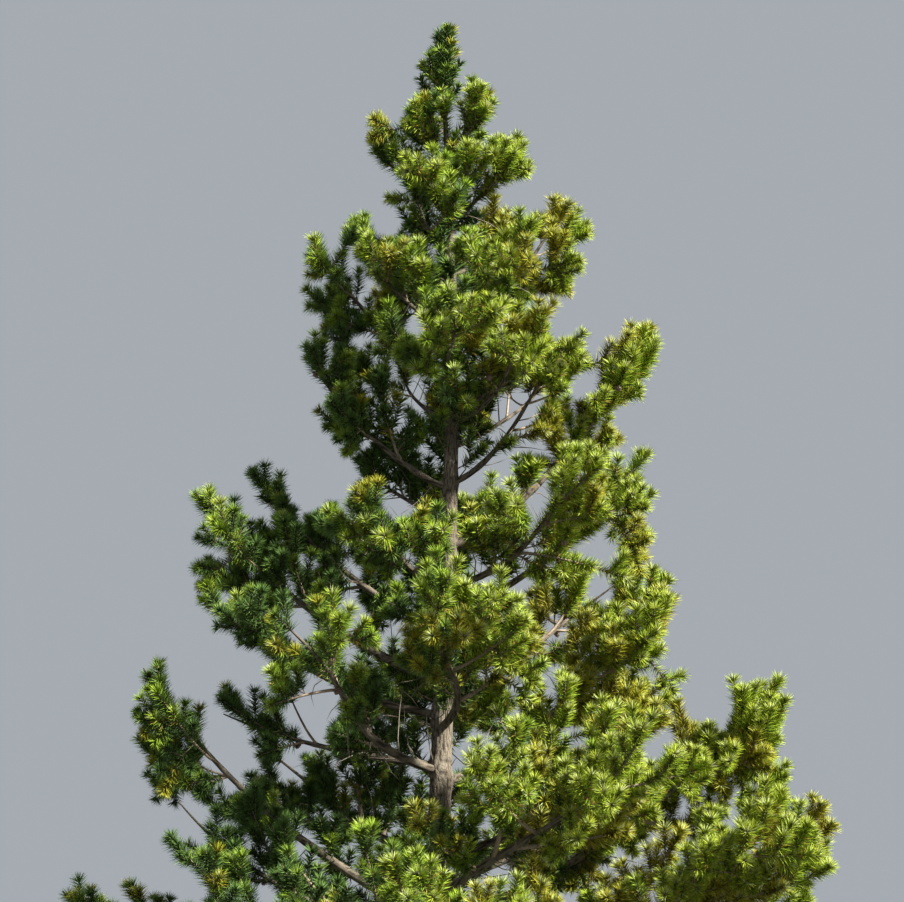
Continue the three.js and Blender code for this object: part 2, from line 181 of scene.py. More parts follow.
# Openings in the crown and notches in its edge, seen from the front: how far to the right of the
# trunk's foot, how high, and how far round that point
OPENINGS = [
    (-1.1, 7.83, 0.22), (-1.8, 5.16, 0.2), (-1.63, 5.95, 0.18), (1.97, 8.18, 0.16), (-0.42, 10.06, 0.12),
    (0.79, 8.3, 0.19), (1.56, 10.2, 0.14), (-1.07, 5.58, 0.18), (2.55, 5.7, 0.15), (1.44, 8.58, 0.1),
    (1.36, 9.2, 0.12), (-0.32, 7.44, 0.12), (-1.14, 6.32, 0.12), (-2.12, 4.56, 0.12), (1.52, 7.05, 0.13),
    (-1.01, 8.53, 0.07), (0.37, 7.64, 0.08), (-1.88, 6.1, 0.12), (1.52, 6.7, 0.1), (-0.35, 11.2, 0.12),
    (-0.96, 5.75, 0.13), (-1.22, 5.06, 0.1), (1.13, 6.32, 0.1), (0.95, 7.44, 0.11), (-0.13, 8.53, 0.08),
    (2.0, 7.72, 0.1), (2.0, 5.25, 0.1), (-2.44, 4.25, 0.17), (-1.1, 7.6, 0.14), (-1.77, 5.02, 0.14),
    (3.4, 4.95, 0.1), (3.27, 5.16, 0.07), (2.1, 8.6, 0.1), (-0.5, 10.5, 0.13), (-0.72, 10.66, 0.1),
    (-2.2, 5.8, 0.1), (2.4, 5.6, 0.13), (0.77, 10.3, 0.08), (0.62, 11.02, 0.08), (1.07, 10.65, 0.1),
    (-1.04, 5.3, 0.1), (-1.42, 3.93, 0.1), (1.0, 9.83, 0.08), (-1.28, 9.64, 0.08), (-0.75, 7.66, 0.08),
    (2.97, 5.9, 0.06), (-2.12, 4.0, 0.1), (-0.87, 10.03, 0.07), (-0.36, 10.47, 0.07), (1.75, 8.21, 0.09),
    (-0.86, 5.57, 0.08), (-3.26, 4.1, 0.08), (1.5, 8.88, 0.06), (-1.08, 8.13, 0.05), (2.17, 5.97, 0.06),
    (-1.71, 5.48, 0.05), (0.97, 8.42, 0.07), (-0.13, 9.09, 0.07), (-0.72, 6.1, 0.07), (1.2, 9.06, 0.07),
    (2.62, 5.47, 0.07), (-1.08, 7.43, 0.07), (3.04, 5.98, 0.05), (-0.66, 9.33, 0.06), (2.17, 6.36, 0.05),
    (-0.87, 9.88, 0.05), (0.62, 11.3, 0.04), (-0.28, 10.42, 0.05), (3.46, 4.0, 0.05), (-2.03, 4.47, 0.06),
    (-0.09, 8.37, 0.06),
]
# How far the needles of the shoots round an opening reach into it
OPENING_MARGIN = 0.035
# Places between limbs that finer twigs fill, seen the same way: how far to the right and how high
FILLED_PLACES = [
    (0.92, 5.82), (0.75, 5.95), (1.82, 6.93), (2.8, 5.0), (-0.37, 6.47), (-0.5, 6.2), (-2.01, 6.7),
    (3.07, 5.55), (-2.41, 5.3), (1.21, 9.45), (-0.78, 8.96), (1.99, 8.85), (0.55, 5.43), (3.4, 4.3),
    (3.55, 4.55), (1.12, 8.05), (1.45, 4.13), (1.15, 4.3), (1.75, 4.05), (2.6, 4.85), (2.85, 4.7),
    (0.9, 5.65), (-0.53, 6.92), (1.75, 6.75), (1.26, 4.02), (1.38, 3.92), (-0.83, 8.74), (-0.8, 8.6),
    (1.1, 3.9), (1.02, 4.02), (-2.25, 4.47), (3.02, 5.05), (3.1, 4.85), (2.31, 4.83), (-0.73, 4.45),
    (2.12, 6.6), (-0.35, 6.83), (0.17, 8.0), (0.2, 8.25), (1.02, 6.78), (1.2, 6.8), (-0.72, 7.95),
    (1.85, 8.45), (-0.12, 8.04), (-2.01, 4.85), (1.79, 4.33), (3.5, 4.2), (-0.7, 10.02), (-0.5, 10.88),
    (2.8, 5.95), (1.36, 8.81), (-1.73, 6.2), (3.18, 5.73), (2.22, 5.66), (3.04, 4.75), (-0.28, 10.3),
    (-2.33, 4.86), (2.8, 5.86), (1.88, 6.83), (-2.5, 5.38), (1.33, 5.51), (2.04, 8.96),
]
# How far a spray turns from its limb and rises from it, and its size, by turns
HABITS = [(1, 0, 1), (0.45, -0.4, 0.78), (0.4, 0.6, 1)]
GOLDEN_ANGLE = math.pi * (3 - math.sqrt(5))
UP = np.array([0.0, 0.0, 1.0])

# Each limb: name, height of its foot, heading in degrees (0 right, 90 away, 180 left, 270 towards
# the viewer), horizontal reach, and rise from foot to tip. The bare parts of the first are boughs.
BOUGHS = 6
LIMBS = [
    ("left_crook", 5.85, 182, 2.23, 1.7),
    ("right_tall", 7.06, 5, 1.85, 2.14),
    ("right_arch", 6.5, 352, 1.86, 1.42),
    ("right_elbow", 4.95, 8, 2.07, 1.95),
    ("left_sweep", 3.8, 186, 2.6, 2.13),
    ("right_sweep", 3.75, 4, 3.12, 2.18),
    ("right_fork", 7.65, 345, 1.15, 1.45),
    ("left_upper", 7.6, 177, 1.33, 1.3),
    ("front_right_great", 3.95, 308, 2.8, 1.25),
    ("right_low", 2.55, 356, 3.48, 2.2),
    ("left_low", 2.3, 178, 3.26, 1.7),
    ("crown_right", 10.75, 350, 0.34, 0.62),
    ("crown_left", 10.3, 187, 0.72, 0.5),
    ("crown_left_spur", 9.85, 165, 0.52, 0.3),
    ("crown_right_arm", 10.12, 4, 0.66, 0.86),
    ("upper_right", 9.05, 354, 1.06, 1.2),
    ("upper_left", 8.72, 180, 1.3, 1.16),
    ("crown_front", 10.6, 238, 0.43, 0.64),
    ("upper_left_spur", 9.3, 190, 0.86, 0.8),
    ("upper_front", 10.08, 292, 0.64, 0.58),
    ("upper_front_left", 9.8, 232, 0.76, 0.64),
    ("upper_back_right", 9.6, 48, 0.9, 0.7),
    ("high_front_right", 9.15, 318, 1.06, 0.78),
    ("high_front_left", 8.95, 224, 1.1, 0.78),
    ("high_back", 9.05, 98, 1.12, 0.82),
    ("mid_front", 8.35, 268, 1.25, 0.82),
    ("mid_front_right", 8.2, 312, 1.32, 0.86),
    ("mid_back", 8.15, 108, 1.4, 0.9),
    ("mid_back_right", 8.0, 52, 1.45, 0.95),
    ("mid_back_left", 7.35, 148, 1.0, 0.65),
    ("crook_upper", 6.35, 166, 1.86, 1.55),
    ("front_left_arm", 6.7, 236, 1.6, 0.72),
    ("front_right_arm", 6.7, 318, 1.85, 0.9),
    ("back_arm", 7.0, 80, 1.8, 0.92),
    ("back_right_arm", 5.95, 42, 2.2, 1.05),
    ("front_bough", 5.45, 272, 2.2, 1.0),
    ("front_left_bough", 5.05, 236, 2.55, 1.1),
    ("back_bough", 5.35, 102, 2.45, 1.05),
    ("left_spur", 5.1, 171, 1.98, 0.5),
    ("left_hang", 5.55, 189, 2.2, 1.02),
    ("front_right_spray", 4.3, 334, 2.35, 1.2),
    ("right_lower_front", 3.1, 350, 3.4, 1.3),
    ("left_lower_front", 3.45, 200, 2.35, 1.25),
    ("right_upper_spur", 8.35, 20, 1.15, 0.9),
    ("back_left_bough", 4.35, 132, 2.5, 1.15),
    ("back_right_bough", 4.05, 56, 2.9, 1.15),
    ("low_front_left", 3.05, 213, 2.8, 1.15),
    ("low_front", 2.75, 268, 3.15, 1.15),
    ("low_front_right", 1.95, 318, 3.45, 1.05),
    ("low_back", 2.5, 92, 3.25, 1.15),
    ("low_back_right", 1.75, 38, 3.45, 0.95),
    ("low_back_left", 1.9, 146, 3.4, 1.0),
]
LEADER = len(LIMBS)

# Needle tones by their place in a piece's list of finishes: five from painted sun to painted shade, then
# the others
TONES = ["sunny", "fresh", "grass", "deep", "bluish", "straw", "pale", "golden", "olive"]
SUNNY, FRESH, GRASS, DEEP, BLUISH, STRAW, PALE, GOLDEN, OLIVE = range(len(TONES))
# Where one tone gives way to the next as the painted sun share gets less, and how far a shoot strays from
# that
TONE_STEPS = [-0.92, -0.6, -0.32, -0.06]
TONE_NOISE = 0.33
# How the painted sun share grows towards the key light at the right: by how much, over how many metres, and
# between which limits
SUNNY_SIDE = 0.95
SIDE_REACH = 2
SIDE_LIMITS = (-0.8, 0.7)
# Shares of the stems that are ruddy, of the inner needles about to be shed and of the newest at the tips,
# which are partly a painted highlight
RUDDY_SHARE = 0.3
STRAW_SHARE = 0.2
PALE_SHARE = 0.45
TIERS = ["top", "upper", "middle", "lower", "lowest"]

# The plainer colours, and the stage
WEATHERED_BARK = (0.26, 0.225, 0.185, 1)
RUDDY_BARK = (0.2, 0.105, 0.055, 1)
DEAD_TWIG, DEAD_TWIG_LIGHT = (0.12, 0.09, 0.07), (0.26, 0.22, 0.18)
FLOOR_TONE, FLOOR_LIGHT = (0.12, 0.122, 0.125), (0.125, 0.127, 0.13)
SUN_COLOUR, SUN_BREADTH = (1, 0.99, 0.86), math.radians(6)
SUN_TURN = (math.radians(50), 0, math.radians(60))
FILL_COLOUR = (0.86, 0.93, 1, 1)
CLIP_END, FLOOR_SIZE = 2000, 900


def length_setting(name, description, default, least=0.0):
    return FloatProperty(name=name, description=description, default=default, min=least, unit="LENGTH")


def colour_setting(name, description, default):
    return FloatVectorProperty(
        name=name, description=description, subtype="COLOR", default=default, min=0, max=1)


class PineGrowth(bpy.types.PropertyGroup):
    """Sizes of what grows on the limbs"""

    whorl_spacing: length_setting(
        "Whorl spacing", "Distance between the whorls of shoots along a spray", 0.3, 0.05)
    whorl_shoots: IntProperty(
        name="Shoots in a whorl", description="Side shoots that leave a spray together", default=3, min=2)
    shoot_length: length_setting(
        "Shoot length", "Length of a full side shoot, without its needles", 0.235, 0.05)
    needles_per_metre: FloatProperty(
        name="Needle pairs per metre", description="Pairs of needles along a metre of shoot",
        default=330, min=50)
    needle_length: length_setting("Needle length", "Length of a full needle", 0.116, 0.02)
    needle_width: length_setting(
        "Needle width", "Width of a needle, larger than life as each stands for several", 0.0105, 0.001)
    cone_length: length_setting("Cone length", "Length of a ripe cone", 0.078, 0.02)
    cone_radius: length_setting("Cone radius", "Radius of a ripe cone", 0.026, 0.01)
    loose_cones: IntProperty(
        name="Loose cones", description="Cones on side shoots, besides those on the long limbs",
        default=46, min=0)


class PineBark(bpy.types.PropertyGroup):
    """Relief and colours of the bark"""

    plate_width: length_setting(
        "Plate width", "Width of a bark plate at the foot of the trunk", 0.066, 0.01)
    fissure_depth: FloatProperty(
        name="Fissure depth", description="Depth of the fissures between plates, as a share of the radius",
        default=0.085, min=0, max=0.3, subtype="FACTOR")
    plate_colour: colour_setting("Plate colour", "Weathered face of the bark", (0.17, 0.138, 0.108))
    fissure_colour: colour_setting("Fissure colour", "Depth of the bark's fissures", (0.04, 0.029, 0.021))
    twig_colour: colour_setting("Twig colour", "Young bark of the twigs", (0.2, 0.125, 0.07))


class PineTones(bpy.types.PropertyGroup):
    """Colours of the needles, buds and cones"""

    # Painted shade: the first five tones go to needles by a painted sun share, lighter at the crown's
    # outside and towards the key light at the right, darker inside and on the left; within each shoot the
    # needles nearer its foot also take a darker tone as older ones.
    sunny: colour_setting("Sunny", "Youngest needles at the outside of the crown", (0.33, 0.395, 0.034))
    fresh: colour_setting("Fresh", "Needles of the last year", (0.3, 0.4, 0.032))
    grass: colour_setting("Grass", "Full-grown needles", (0.235, 0.345, 0.03))
    deep: colour_setting("Deep", "Older needles inside the crown", (0.165, 0.25, 0.034))
    bluish: colour_setting("Bluish", "Needles that grew in shade", (0.088, 0.158, 0.038))
    straw: colour_setting("Straw", "Needles about to be shed", (0.35, 0.26, 0.045))
    # Pale is the newest needles and in part a painted highlight: it goes only to the tips of the sunniest
    # shoots.
    pale: colour_setting("Pale", "Newest needles at the tips of sunny shoots", (0.4, 0.45, 0.18))
    # Golden and olive are a lit and a shaded copy of one ruddy tone, dealt out by needle age and by the
    # painted sun share.
    golden: colour_setting("Golden", "Young needles of a ruddier spray", (0.395, 0.375, 0.032))
    olive: colour_setting("Olive", "Older needles of a ruddier spray", (0.3, 0.29, 0.026))
    bud: colour_setting("Bud", "Resinous winter buds", (0.42, 0.27, 0.13))
    cone: colour_setting("Cone", "Open cones", (0.12, 0.06, 0.03))


class PineStage(bpy.types.PropertyGroup):
    """Camera, lights and floor"""

    camera_height: length_setting("Camera height", "Height of the eye above the ground", 1.6)
    camera_distance: length_setting("Camera distance", "Distance of the eye from the trunk", 30)
    camera_side: FloatProperty(
        name="Camera side", description="How far the eye is to the right", default=0.207, unit="LENGTH")
    camera_pitch: FloatProperty(
        name="Camera pitch", description="How far the camera looks up", default=math.radians(11.93),
        subtype="ANGLE")
    lens: FloatProperty(name="Lens", description="Focal length in millimetres", default=135.4)
    key_strength: FloatProperty(name="Key light", description="Strength of the main light", default=14)
    fill_strength: FloatProperty(
        name="Fill light", description="Strength of the light all round", default=0.44)


def chance(limb, branch, draw):
    """The same number between 0 and 1 for the same three whole numbers."""
    turn = np.sin(limb * 127.1 + branch * 311.7 + draw * 74.7) * 43758.5453
    return turn - np.floor(turn)


def spread(limb, branch, draw, low, high):
    """The same number between two limits for the same three whole numbers."""
    return low + (high - low) * chance(limb, branch, draw)


def level(angle):
    """The level direction at an angle from +X."""
    return np.array([math.cos(angle), math.sin(angle), 0])


def unit(vectors):
    """The vectors at a length of one."""
    return vectors / np.maximum(np.linalg.norm(vectors, axis=-1, keepdims=True), 1e-12)


def smooth_step(low, high, value):
    share = np.clip((value - low) / (high - low), 0, 1)
    return share * share * (3 - 2 * share)


def trunk_at(height):
    """The middle of the trunk at a height."""
    height = np.asarray(height, float)
    share = height / TREE_HEIGHT
    bend = BEND_TO_RIGHT * np.sin(np.pi * share ** BEND_SKEW)
    return np.stack([bend + LEAN_TO_RIGHT * share, BEND_AWAY * np.sin(np.pi * share), height], axis=-1)


def trunk_radius_at(height):
    to_tip = np.maximum(TREE_HEIGHT - np.asarray(height, float), 0)
    return TRUNK_RADIUS_AT_1M * to_tip ** TRUNK_TAPER + FLARE_SPREAD * np.exp(-height / FLARE_HEIGHT)


def needling(length, share):
    """The needled share of a limb or spray, and how far its needles reach: less on a short one."""
    leafy = min(share, LEAFY_LENGTH * (SHORT_LEAFY + length / LEAFY_GAIN_LENGTH) / length)
    return leafy, NEEDLE_REACH * min(1, SHORT_REACH + length / REACH_GAIN_LENGTH)


@dataclasses.dataclass(eq=False)
class Stem:
    """A limb or spray as a curve from 0 at its foot to 1 at its tip. The owner is its limb's number."""

    owner: int
    name: str
    at: object
    radius_at: object
    length: float
    leafy: float
    reach: float
    out: np.ndarray
    across: np.ndarray
    has_bough: bool = False
    foot_share: float = 0
    tip: float = 1
    sprays: list = dataclasses.field(default_factory=list)
    kept: list = dataclasses.field(default_factory=list)
    branchlets: list = dataclasses.field(default_factory=list)

    @property
    def mass_start(self):
        return BOUGH_SHARE if self.has_bough else 0

    def tangent_at(self, share, step=0.01):
        share = np.asarray(share, float)
        return unit(self.at(np.minimum(1, share + step)) - self.at(np.maximum(0, share - step)))

    def slope_at(self, share):
        tangent = self.tangent_at(share)
        return math.atan2(tangent[2], math.hypot(tangent[0], tangent[1]))

    def turned(self, turn):
        """The level direction at an angle from the stem's own."""
        return self.out * math.cos(turn) + self.across * math.sin(turn)


def make_limb(index, name, foot, heading, reach, rise):
    """A limb that bellies out from the trunk, sways a little to each side and turns up towards its tip."""
    angle = math.radians(heading)
    out = level(angle)
    across = np.array([-math.sin(angle), math.cos(angle), 0])
    sway = LIMB_SWAY * reach * (-1 if chance(index, 0, 9) < 0.5 else 1)
    length = math.hypot(reach, rise)
    base = trunk_at(foot)
    foot_radius = LIMB_RADIUS_FOOT + LIMB_RADIUS_PER_METRE * length

    def at(share):
        share = np.asarray(share, float)[..., None]
        flat = out * reach * share * (1 + LIMB_BELLY * (1 - share))
        return base + flat + UP * rise * share ** LIMB_LIFT + across * sway * np.sin(2 * np.pi * share)

    def radius_at(share):
        return foot_radius * np.maximum(1 - share, 0) ** LIMB_TAPER + TWIG_TIP

    limb = Stem(index, name, at, radius_at, length, *needling(length, TIP_LEAFY_SHARE), out, across)
    limb.has_bough = index < BOUGHS
    return limb


def make_leader():
    """The leading shoot, which stands on the trunk's top."""
    base = trunk_at(TRUNK_TOP)
    height = TREE_HEIGHT - TRUNK_TOP - JOINT_GAP
    foot_radius = trunk_radius_at(TRUNK_TOP)

    def at(share):
        return base + UP * (height * np.asarray(share, float)[..., None] + JOINT_GAP)

    def radius_at(share):
        return foot_radius + (TWIG_TIP - foot_radius) * share

    leafy, _ = needling(height, SPRAY_LEAFY_SHARE)
    reach = NEEDLE_REACH * LEADER_SLIMNESS
    across = np.array([0.0, 1.0, 0.0])
    return Stem(LEADER, "leader", at, radius_at, height, leafy, reach, np.array([1.0, 0.0, 0.0]), across)


def spray_stem(owner, foot, flat, forward, upward, length, foot_radius, slimness=1):
    """A curved stem that leaves its foot in the level direction flat, and rises towards its tip."""

    def at(share):
        share = np.asarray(share, float)[..., None]
        return foot + flat * length * forward * share + UP * length * upward * share ** SPRAY_LIFT

    def radius_at(share):
        return (foot_radius - SPRAY_TIP) * np.maximum(1 - share, 0) ** SPRAY_TAPER + SPRAY_TIP

    leafy, reach = needling(length, SPRAY_LEAFY_SHARE)
    across = unit(np.cross(UP, flat))
    return Stem(owner, "", at, radius_at, length, leafy, reach * slimness, flat, across)


def make_spray(limb, order, count, attempt):
    """A side spray of a limb. Each further attempt at one place is turned another way and is shorter."""

    def draw(slot, low, high):
        return spread(limb.owner, order, slot + 7 * attempt, low, high)

    turning, rising, size = HABITS[order % len(HABITS)]
    first = max(FIRST_SPRAY, limb.mass_start + 0.05)
    last = 1 - limb.leafy * 0.7
    share = last + (first - last) * order / (count - 1)
    share = share + spread(limb.owner, order, 1, -SPRAY_JITTER, SPRAY_JITTER)
    side = 1 if (order + attempt) % 2 == 0 else -1
    flat = limb.turned(side * math.radians(draw(2, *SPRAY_TURNS) * turning))
    climb = limb.slope_at(share) * SLOPE_KEPT + draw(3, *SPRAY_CLIMBS) + rising
    fullness = SPRAY_SPREAD * (1 - share) ** SPRAY_THINNING * draw(4, *SPRAY_FULLNESS)
    length = (fullness * limb.length + SPRAY_SHORTEST) * size * (1 - LOST_PER_ATTEMPT * attempt)
    radius = limb.radius_at(share)
    foot = limb.at(share) - flat * radius * 0.5
    spray = spray_stem(limb.owner, foot, flat, math.cos(climb), math.sin(climb), length, radius * 0.7)
    spray.foot_share = share
    return spray


def make_leader_spray(limb, order, count, attempt):
    """One of the ring of short, slim shoots round the foot of the leading shoot."""
    flat = level(LEADER_RING_TURN + 2 * math.pi * order / count)
    foot = limb.at(0.08 + 0.2 * (order % 2))
    length = spread(LEADER, order, 1, *LEADER_SPRAY_LENGTHS)
    return spray_stem(limb.owner, foot, flat, 0.6, 0.8, length, 0.008, LEADER_SLIMNESS)


def spray_count(limb):
    if limb.owner == LEADER:
        return LEADER_RING
    return min(MOST_SPRAYS, math.floor(2.7 + (1 - limb.mass_start * 0.6) * limb.length / SPRAY_SPACING))


class Room:
    """The room that grown pieces have taken, as capsules: owner, reach, radius, start and run."""

    def __init__(self):
        self.rows = np.zeros((4096, 9))
        self.count = 0

    def take(self, capsules):
        self.rows[self.count:self.count + len(capsules)] = capsules
        self.count += len(capsules)

    def is_free(self, capsules):
        """Sprays of one mass may crowd each other a little, and keep out of their neighbours' room."""
        taken = self.rows[:self.count]
        for added in np.asarray(capsules):
            apart = axis_distance(added, taken)
            own = taken[:, 0] == added[0]
            needled = own & (added[1] > 0) & (taken[:, 1] > 0)
            if np.any(apart[~own] - taken[~own, 2] - added[2] <= SPACE_GAP):
                return False
            if np.any(apart[needled] <= NEEDLED_APART * (taken[needled, 1] + added[1])):
                return False
        return True


def axis_distance(added, others):
    """The least distance between one capsule's axis and each of the others'."""
    run, other_run = added[6:9], others[:, 6:9]
    between = added[3:6] - others[:, 3:6]
    own_square = run @ run
    square = np.sum(other_run ** 2, axis=1)
    cross = other_run @ run
    lead = between @ run
    other_lead = np.sum(other_run * between, axis=1)
    spare = own_square * square - cross ** 2
    is_crossed = spare > 1e-21
    safe = np.where(is_crossed, spare, 1)
    share = np.where(is_crossed, np.clip((cross * other_lead - lead * square) / safe, 0, 1), 0)
    other_share = (cross * share + other_lead) / square
    held = np.clip(other_share, 0, 1)
    share = np.where(other_share == held, share, np.clip((cross * held - lead) / own_square, 0, 1))
    apart = between + share[:, None] * run - held[:, None] * other_run
    return np.linalg.norm(apart, axis=1)


def capsule(owner, reach, radius, start, end):
    """A row of Room."""
    return [owner, reach, radius, *start, *(end - start)]


def room_of(stem, bare_parts):
    """The room of a stem: its bare part as thin capsules, and its needled end as two wide ones."""
    bare = 1 - stem.leafy
    cuts = [bare * k / bare_parts for k in range(bare_parts + 1)]
    rows = [capsule(stem.owner, 0, stem.radius_at(a), stem.at(a), stem.at(b))
            for a, b in zip(cuts, cuts[1:])]
    middle = (1 + bare) / 2
    for a, b in ((bare + 0.2, middle + 0.1), (middle + 0.1, 0.95)):
        rows.append(capsule(stem.owner, stem.reach, stem.reach * 0.85, stem.at(a), stem.at(b)))
    return rows


def grow_spray(room, limb, order):
    """Adds one spray to a limb if any attempt at it finds room."""
    make = make_leader_spray if limb.owner == LEADER else make_spray
    for attempt in range(ATTEMPTS):
        spray = make(limb, order, spray_count(limb), attempt)
        rows = room_of(spray, 1)
        if room.is_free(rows):
            room.take(rows)
            limb.sprays.append(spray)
            return


@functools.cache
def grown_limbs():
    """Every limb with its sprays, grown together from the tips inwards. Those that would fill an
    opening then end before it."""
    limbs = [make_limb(index, *row) for index, row in enumerate(LIMBS)] + [make_leader()]
    room = Room()
    step = TRUNK_TOP / TRUNK_PARTS
    room.take([capsule(-1, 0, trunk_radius_at(k * step), trunk_at(k * step), trunk_at((k + 0.9) * step))
               for k in range(TRUNK_PARTS)])
    for limb in limbs:
        room.take(room_of(limb, 6))
    for order in range(max(spray_count(limb) for limb in limbs)):
        for limb in limbs:
            if order < spray_count(limb):
                grow_spray(room, limb, order)
    for limb in limbs:
        limb.tip = tip_share(limb)
        sprays = [spray for spray in limb.sprays if spray.foot_share < limb.tip]
        limb.kept = [kept for kept in map(shortened, sprays) if kept]
    return limbs


class Shoots:
    """Rows of needled shoots. Each is a short curve, start + run * v + lift * v squared, from its foot at
    0 to its tip at 1."""

    def __init__(self):
        self.parts = []

    def add(self, start, run, lift, **facts):
        count = len(start)
        row = {"start": start, "run": run, "lift": lift}
        row.update({name: np.broadcast_to(value, count) for name, value in facts.items()})
        self.parts.append(row)

    def joined(self):
        """All rows that bear needles."""
        rows = joined_rows(self.parts)
        return {name: values[rows["needles"] > 0] for name, values in rows.items()}


def frame_round(along):
    """Two directions square to each given one."""
    helper = np.where(np.abs(along[..., 2:3]) > 0.9, np.array([1.0, 0, 0]), UP)
    first = unit(np.cross(helper, along))
    return first, np.cross(along, first)


def branchlets(stem, is_limb, dice):
    """Finer side stems between the sprays of a limb, or along a spray, turned by turns to one side."""
    if is_limb:
        first, last, apart = 0.16, min(stem.tip, 1 - stem.leafy * 0.6), 0.3
    else:
        first, last, apart = 0.25, 0.7, 0.4
    count = max(1, round((last - first) * stem.length / apart))
    made = []
    for order in range(count):
        share = first + (last - first) * (order + dice.uniform(0.2, 0.8)) / count
        flat = stem.turned((1 if order % 2 else -1) * math.radians(dice.uniform(*BRANCHLET_TURNS)))
        climb = stem.slope_at(share) * 0.4 + dice.uniform(*BRANCHLET_CLIMBS)
        length = dice.uniform(*BRANCHLET_LENGTHS) + 0.2 * (1 - share) * min(stem.length, 1.6)
        made.append(spray_stem(stem.owner, stem.at(share), flat, math.cos(climb), math.sin(climb), length,
                               BRANCHLET_RADIUS))
    return made


def slimness_of(stem):
    """The size of a stem's shoots and needles next to those of a full one."""
    return max(SLIMMEST, stem.reach / NEEDLE_REACH)


def whorl_shoots(stem, growth, dice):
    """Whorls of side shoots along the needled end of a stem. They turn up, and the outermost are a cup
    whose needles end level with the stem's own tip."""
    is_leader = stem.name == "leader"
    needled = stem.length if is_leader else stem.leafy * stem.length
    slim = slimness_of(stem)
    whorls = max(1, round(needled / growth.whorl_spacing * (LEADER_WHORLS if is_leader else 1)))
    each = growth.whorl_shoots + (LEADER_EXTRA_SHOOTS if is_leader else 0)
    whorl = np.repeat(np.arange(whorls), each)
    count = len(whorl)
    order = np.arange(count)
    outermost = growth.shoot_length * slim + TIP_DRAWN_IN * (1.6 if is_leader else 0.6)
    back = outermost + whorl * max(0, needled - outermost) / max(1, whorls)
    back = back + dice.uniform(-0.03, 0.03, count)
    share = np.maximum(0.05, 1 - back / stem.length)
    along = stem.tangent_at(share)
    first, second = frame_round(along)
    turn = (order * 2 * np.pi / each + whorl * 0.9 + dice.uniform(-0.35, 0.35, count))[:, None]
    outward = first * np.cos(turn) + second * np.sin(turn)
    opening = CUP_OPENING + WHORL_OPENING * np.minimum(1, whorl) * slim
    opening = np.radians(opening + dice.normal(0, OPENING_NOISE, count))[:, None]
    way = unit(along * np.cos(opening) + outward * np.sin(opening) + UP * SHOOT_RISE)
    shortening = 1 - 0.3 * np.maximum(0, -outward[:, 2])
    length = growth.shoot_length * slim * dice.uniform(*SHOOT_SIZES, count) * shortening
    lift = UP * (length * dice.uniform(*SHOOT_LIFTS, count))[:, None]
    return stem.at(share), way * length[:, None], lift


def end_shoots(stem):
    """The needled end of the stem itself, as a row of short curves up to its tip."""
    needled = stem.leafy * stem.length
    count = max(1, round(needled / END_SHOOT_LENGTH))
    cuts = np.linspace(1 - stem.leafy, 1 - TIP_DRAWN_IN / stem.length, count + 1)
    start, middle, end = stem.at(cuts[:-1]), stem.at((cuts[:-1] + cuts[1:]) / 2), stem.at(cuts[1:])
    return start, 4 * middle - 3 * start - end, 2 * start - 4 * middle + 2 * end


def outness_of(point):
    """How far out in the crown a point is: 0 at the trunk and about 1 at the crown's outside."""
    from_trunk = np.linalg.norm((point - trunk_at(point[:, 2]))[:, :2], axis=1)
    return from_trunk / (CROWN_RADIUS_AT_TIP + CROWN_SPREAD * (TREE_HEIGHT - point[:, 2]))


def viewpoint():
    """Where the camera stands."""
    stage = bpy.context.scene.pine_stage
    return np.array([stage.camera_side, -stage.camera_distance, stage.camera_height])


def seen_at(point):
    """Where a line from the camera through a point meets the upright plane across the trunk's foot."""
    eye = viewpoint()
    return eye - (point - eye) * (eye[1] / (point[:, 1] - eye[1]))[:, None]


def in_opening(point):
    """Whether a point lies, seen from the front, in an opening of the crown."""
    seen = seen_at(point)
    inside = np.zeros(len(point), bool)
    for right, height, size in OPENINGS:
        inside |= np.hypot(seen[:, 0] - right, seen[:, 2] - height) < size + OPENING_MARGIN
    return inside


def add_shoots(shoots, stem, start, run, lift, density, growth, dice, **facts):
    """Adds shoots with their needles: those inside the crown have fewer and broader ones, and all of a
    stem's are ruddy or none is."""
    outness = outness_of(start + run)
    is_inner = outness < INNER_CROWN
    to_right = (start + run - trunk_at(start[:, 2]))[:, 0]
    # Painted shade: the tone darkens towards the inside of the crown and away from the key light at the
    # right.
    sun = outness + SUNNY_SIDE * np.clip(to_right / SIDE_REACH, *SIDE_LIMITS)
    tone = np.digitize(-sun - dice.normal(0, TONE_NOISE, len(start)), TONE_STEPS)
    length = np.linalg.norm(run + lift, axis=1)
    density = density * np.where(is_inner, INNER_DENSITY, 1)
    needles = np.round(growth.needles_per_metre * (length + 0.03) * density)
    needles = np.where(in_opening(start + run + lift) | in_opening(start + run * 0.5), 0, needles)
    ruddy = chance(stem.owner, len(shoots.parts) // 2, 8) < RUDDY_SHARE
    shoots.add(start, run, lift, tone=tone, ruddy=ruddy, needles=needles,
               broad=np.where(is_inner, INNER_BREADTH, 1), size=slimness_of(stem), **facts)


@functools.cache
def trunk_twigs():
    """Short twigs that the trunk bears itself, by the limb that each grows nearest to."""
    dice = np.random.default_rng(TRUNK_TWIG_SEED)
    feet = np.array([row[1] for row in LIMBS])
    made = {}
    for order, height in enumerate(np.arange(TRUNK_TWIGS_FROM, TRUNK_TOP - 0.05, TRUNK_TWIGS_APART)):
        flat = level(order * GOLDEN_ANGLE + dice.uniform(-0.3, 0.3))
        length = dice.uniform(*TRUNK_TWIG_LENGTHS)
        if flat[1] < 0.3 and any(low < height < high for low, high in TRUNK_WINDOWS):
            continue
        start = trunk_at(height) + flat * trunk_radius_at(height) * 0.8
        owner = int(np.argmin(np.abs(feet - height + 0.1)))
        twig = spray_stem(owner, start, flat, 0.78, 0.62, length, THIN_TWIG_RADIUS)
        made.setdefault(owner, []).append(twig)
    return made


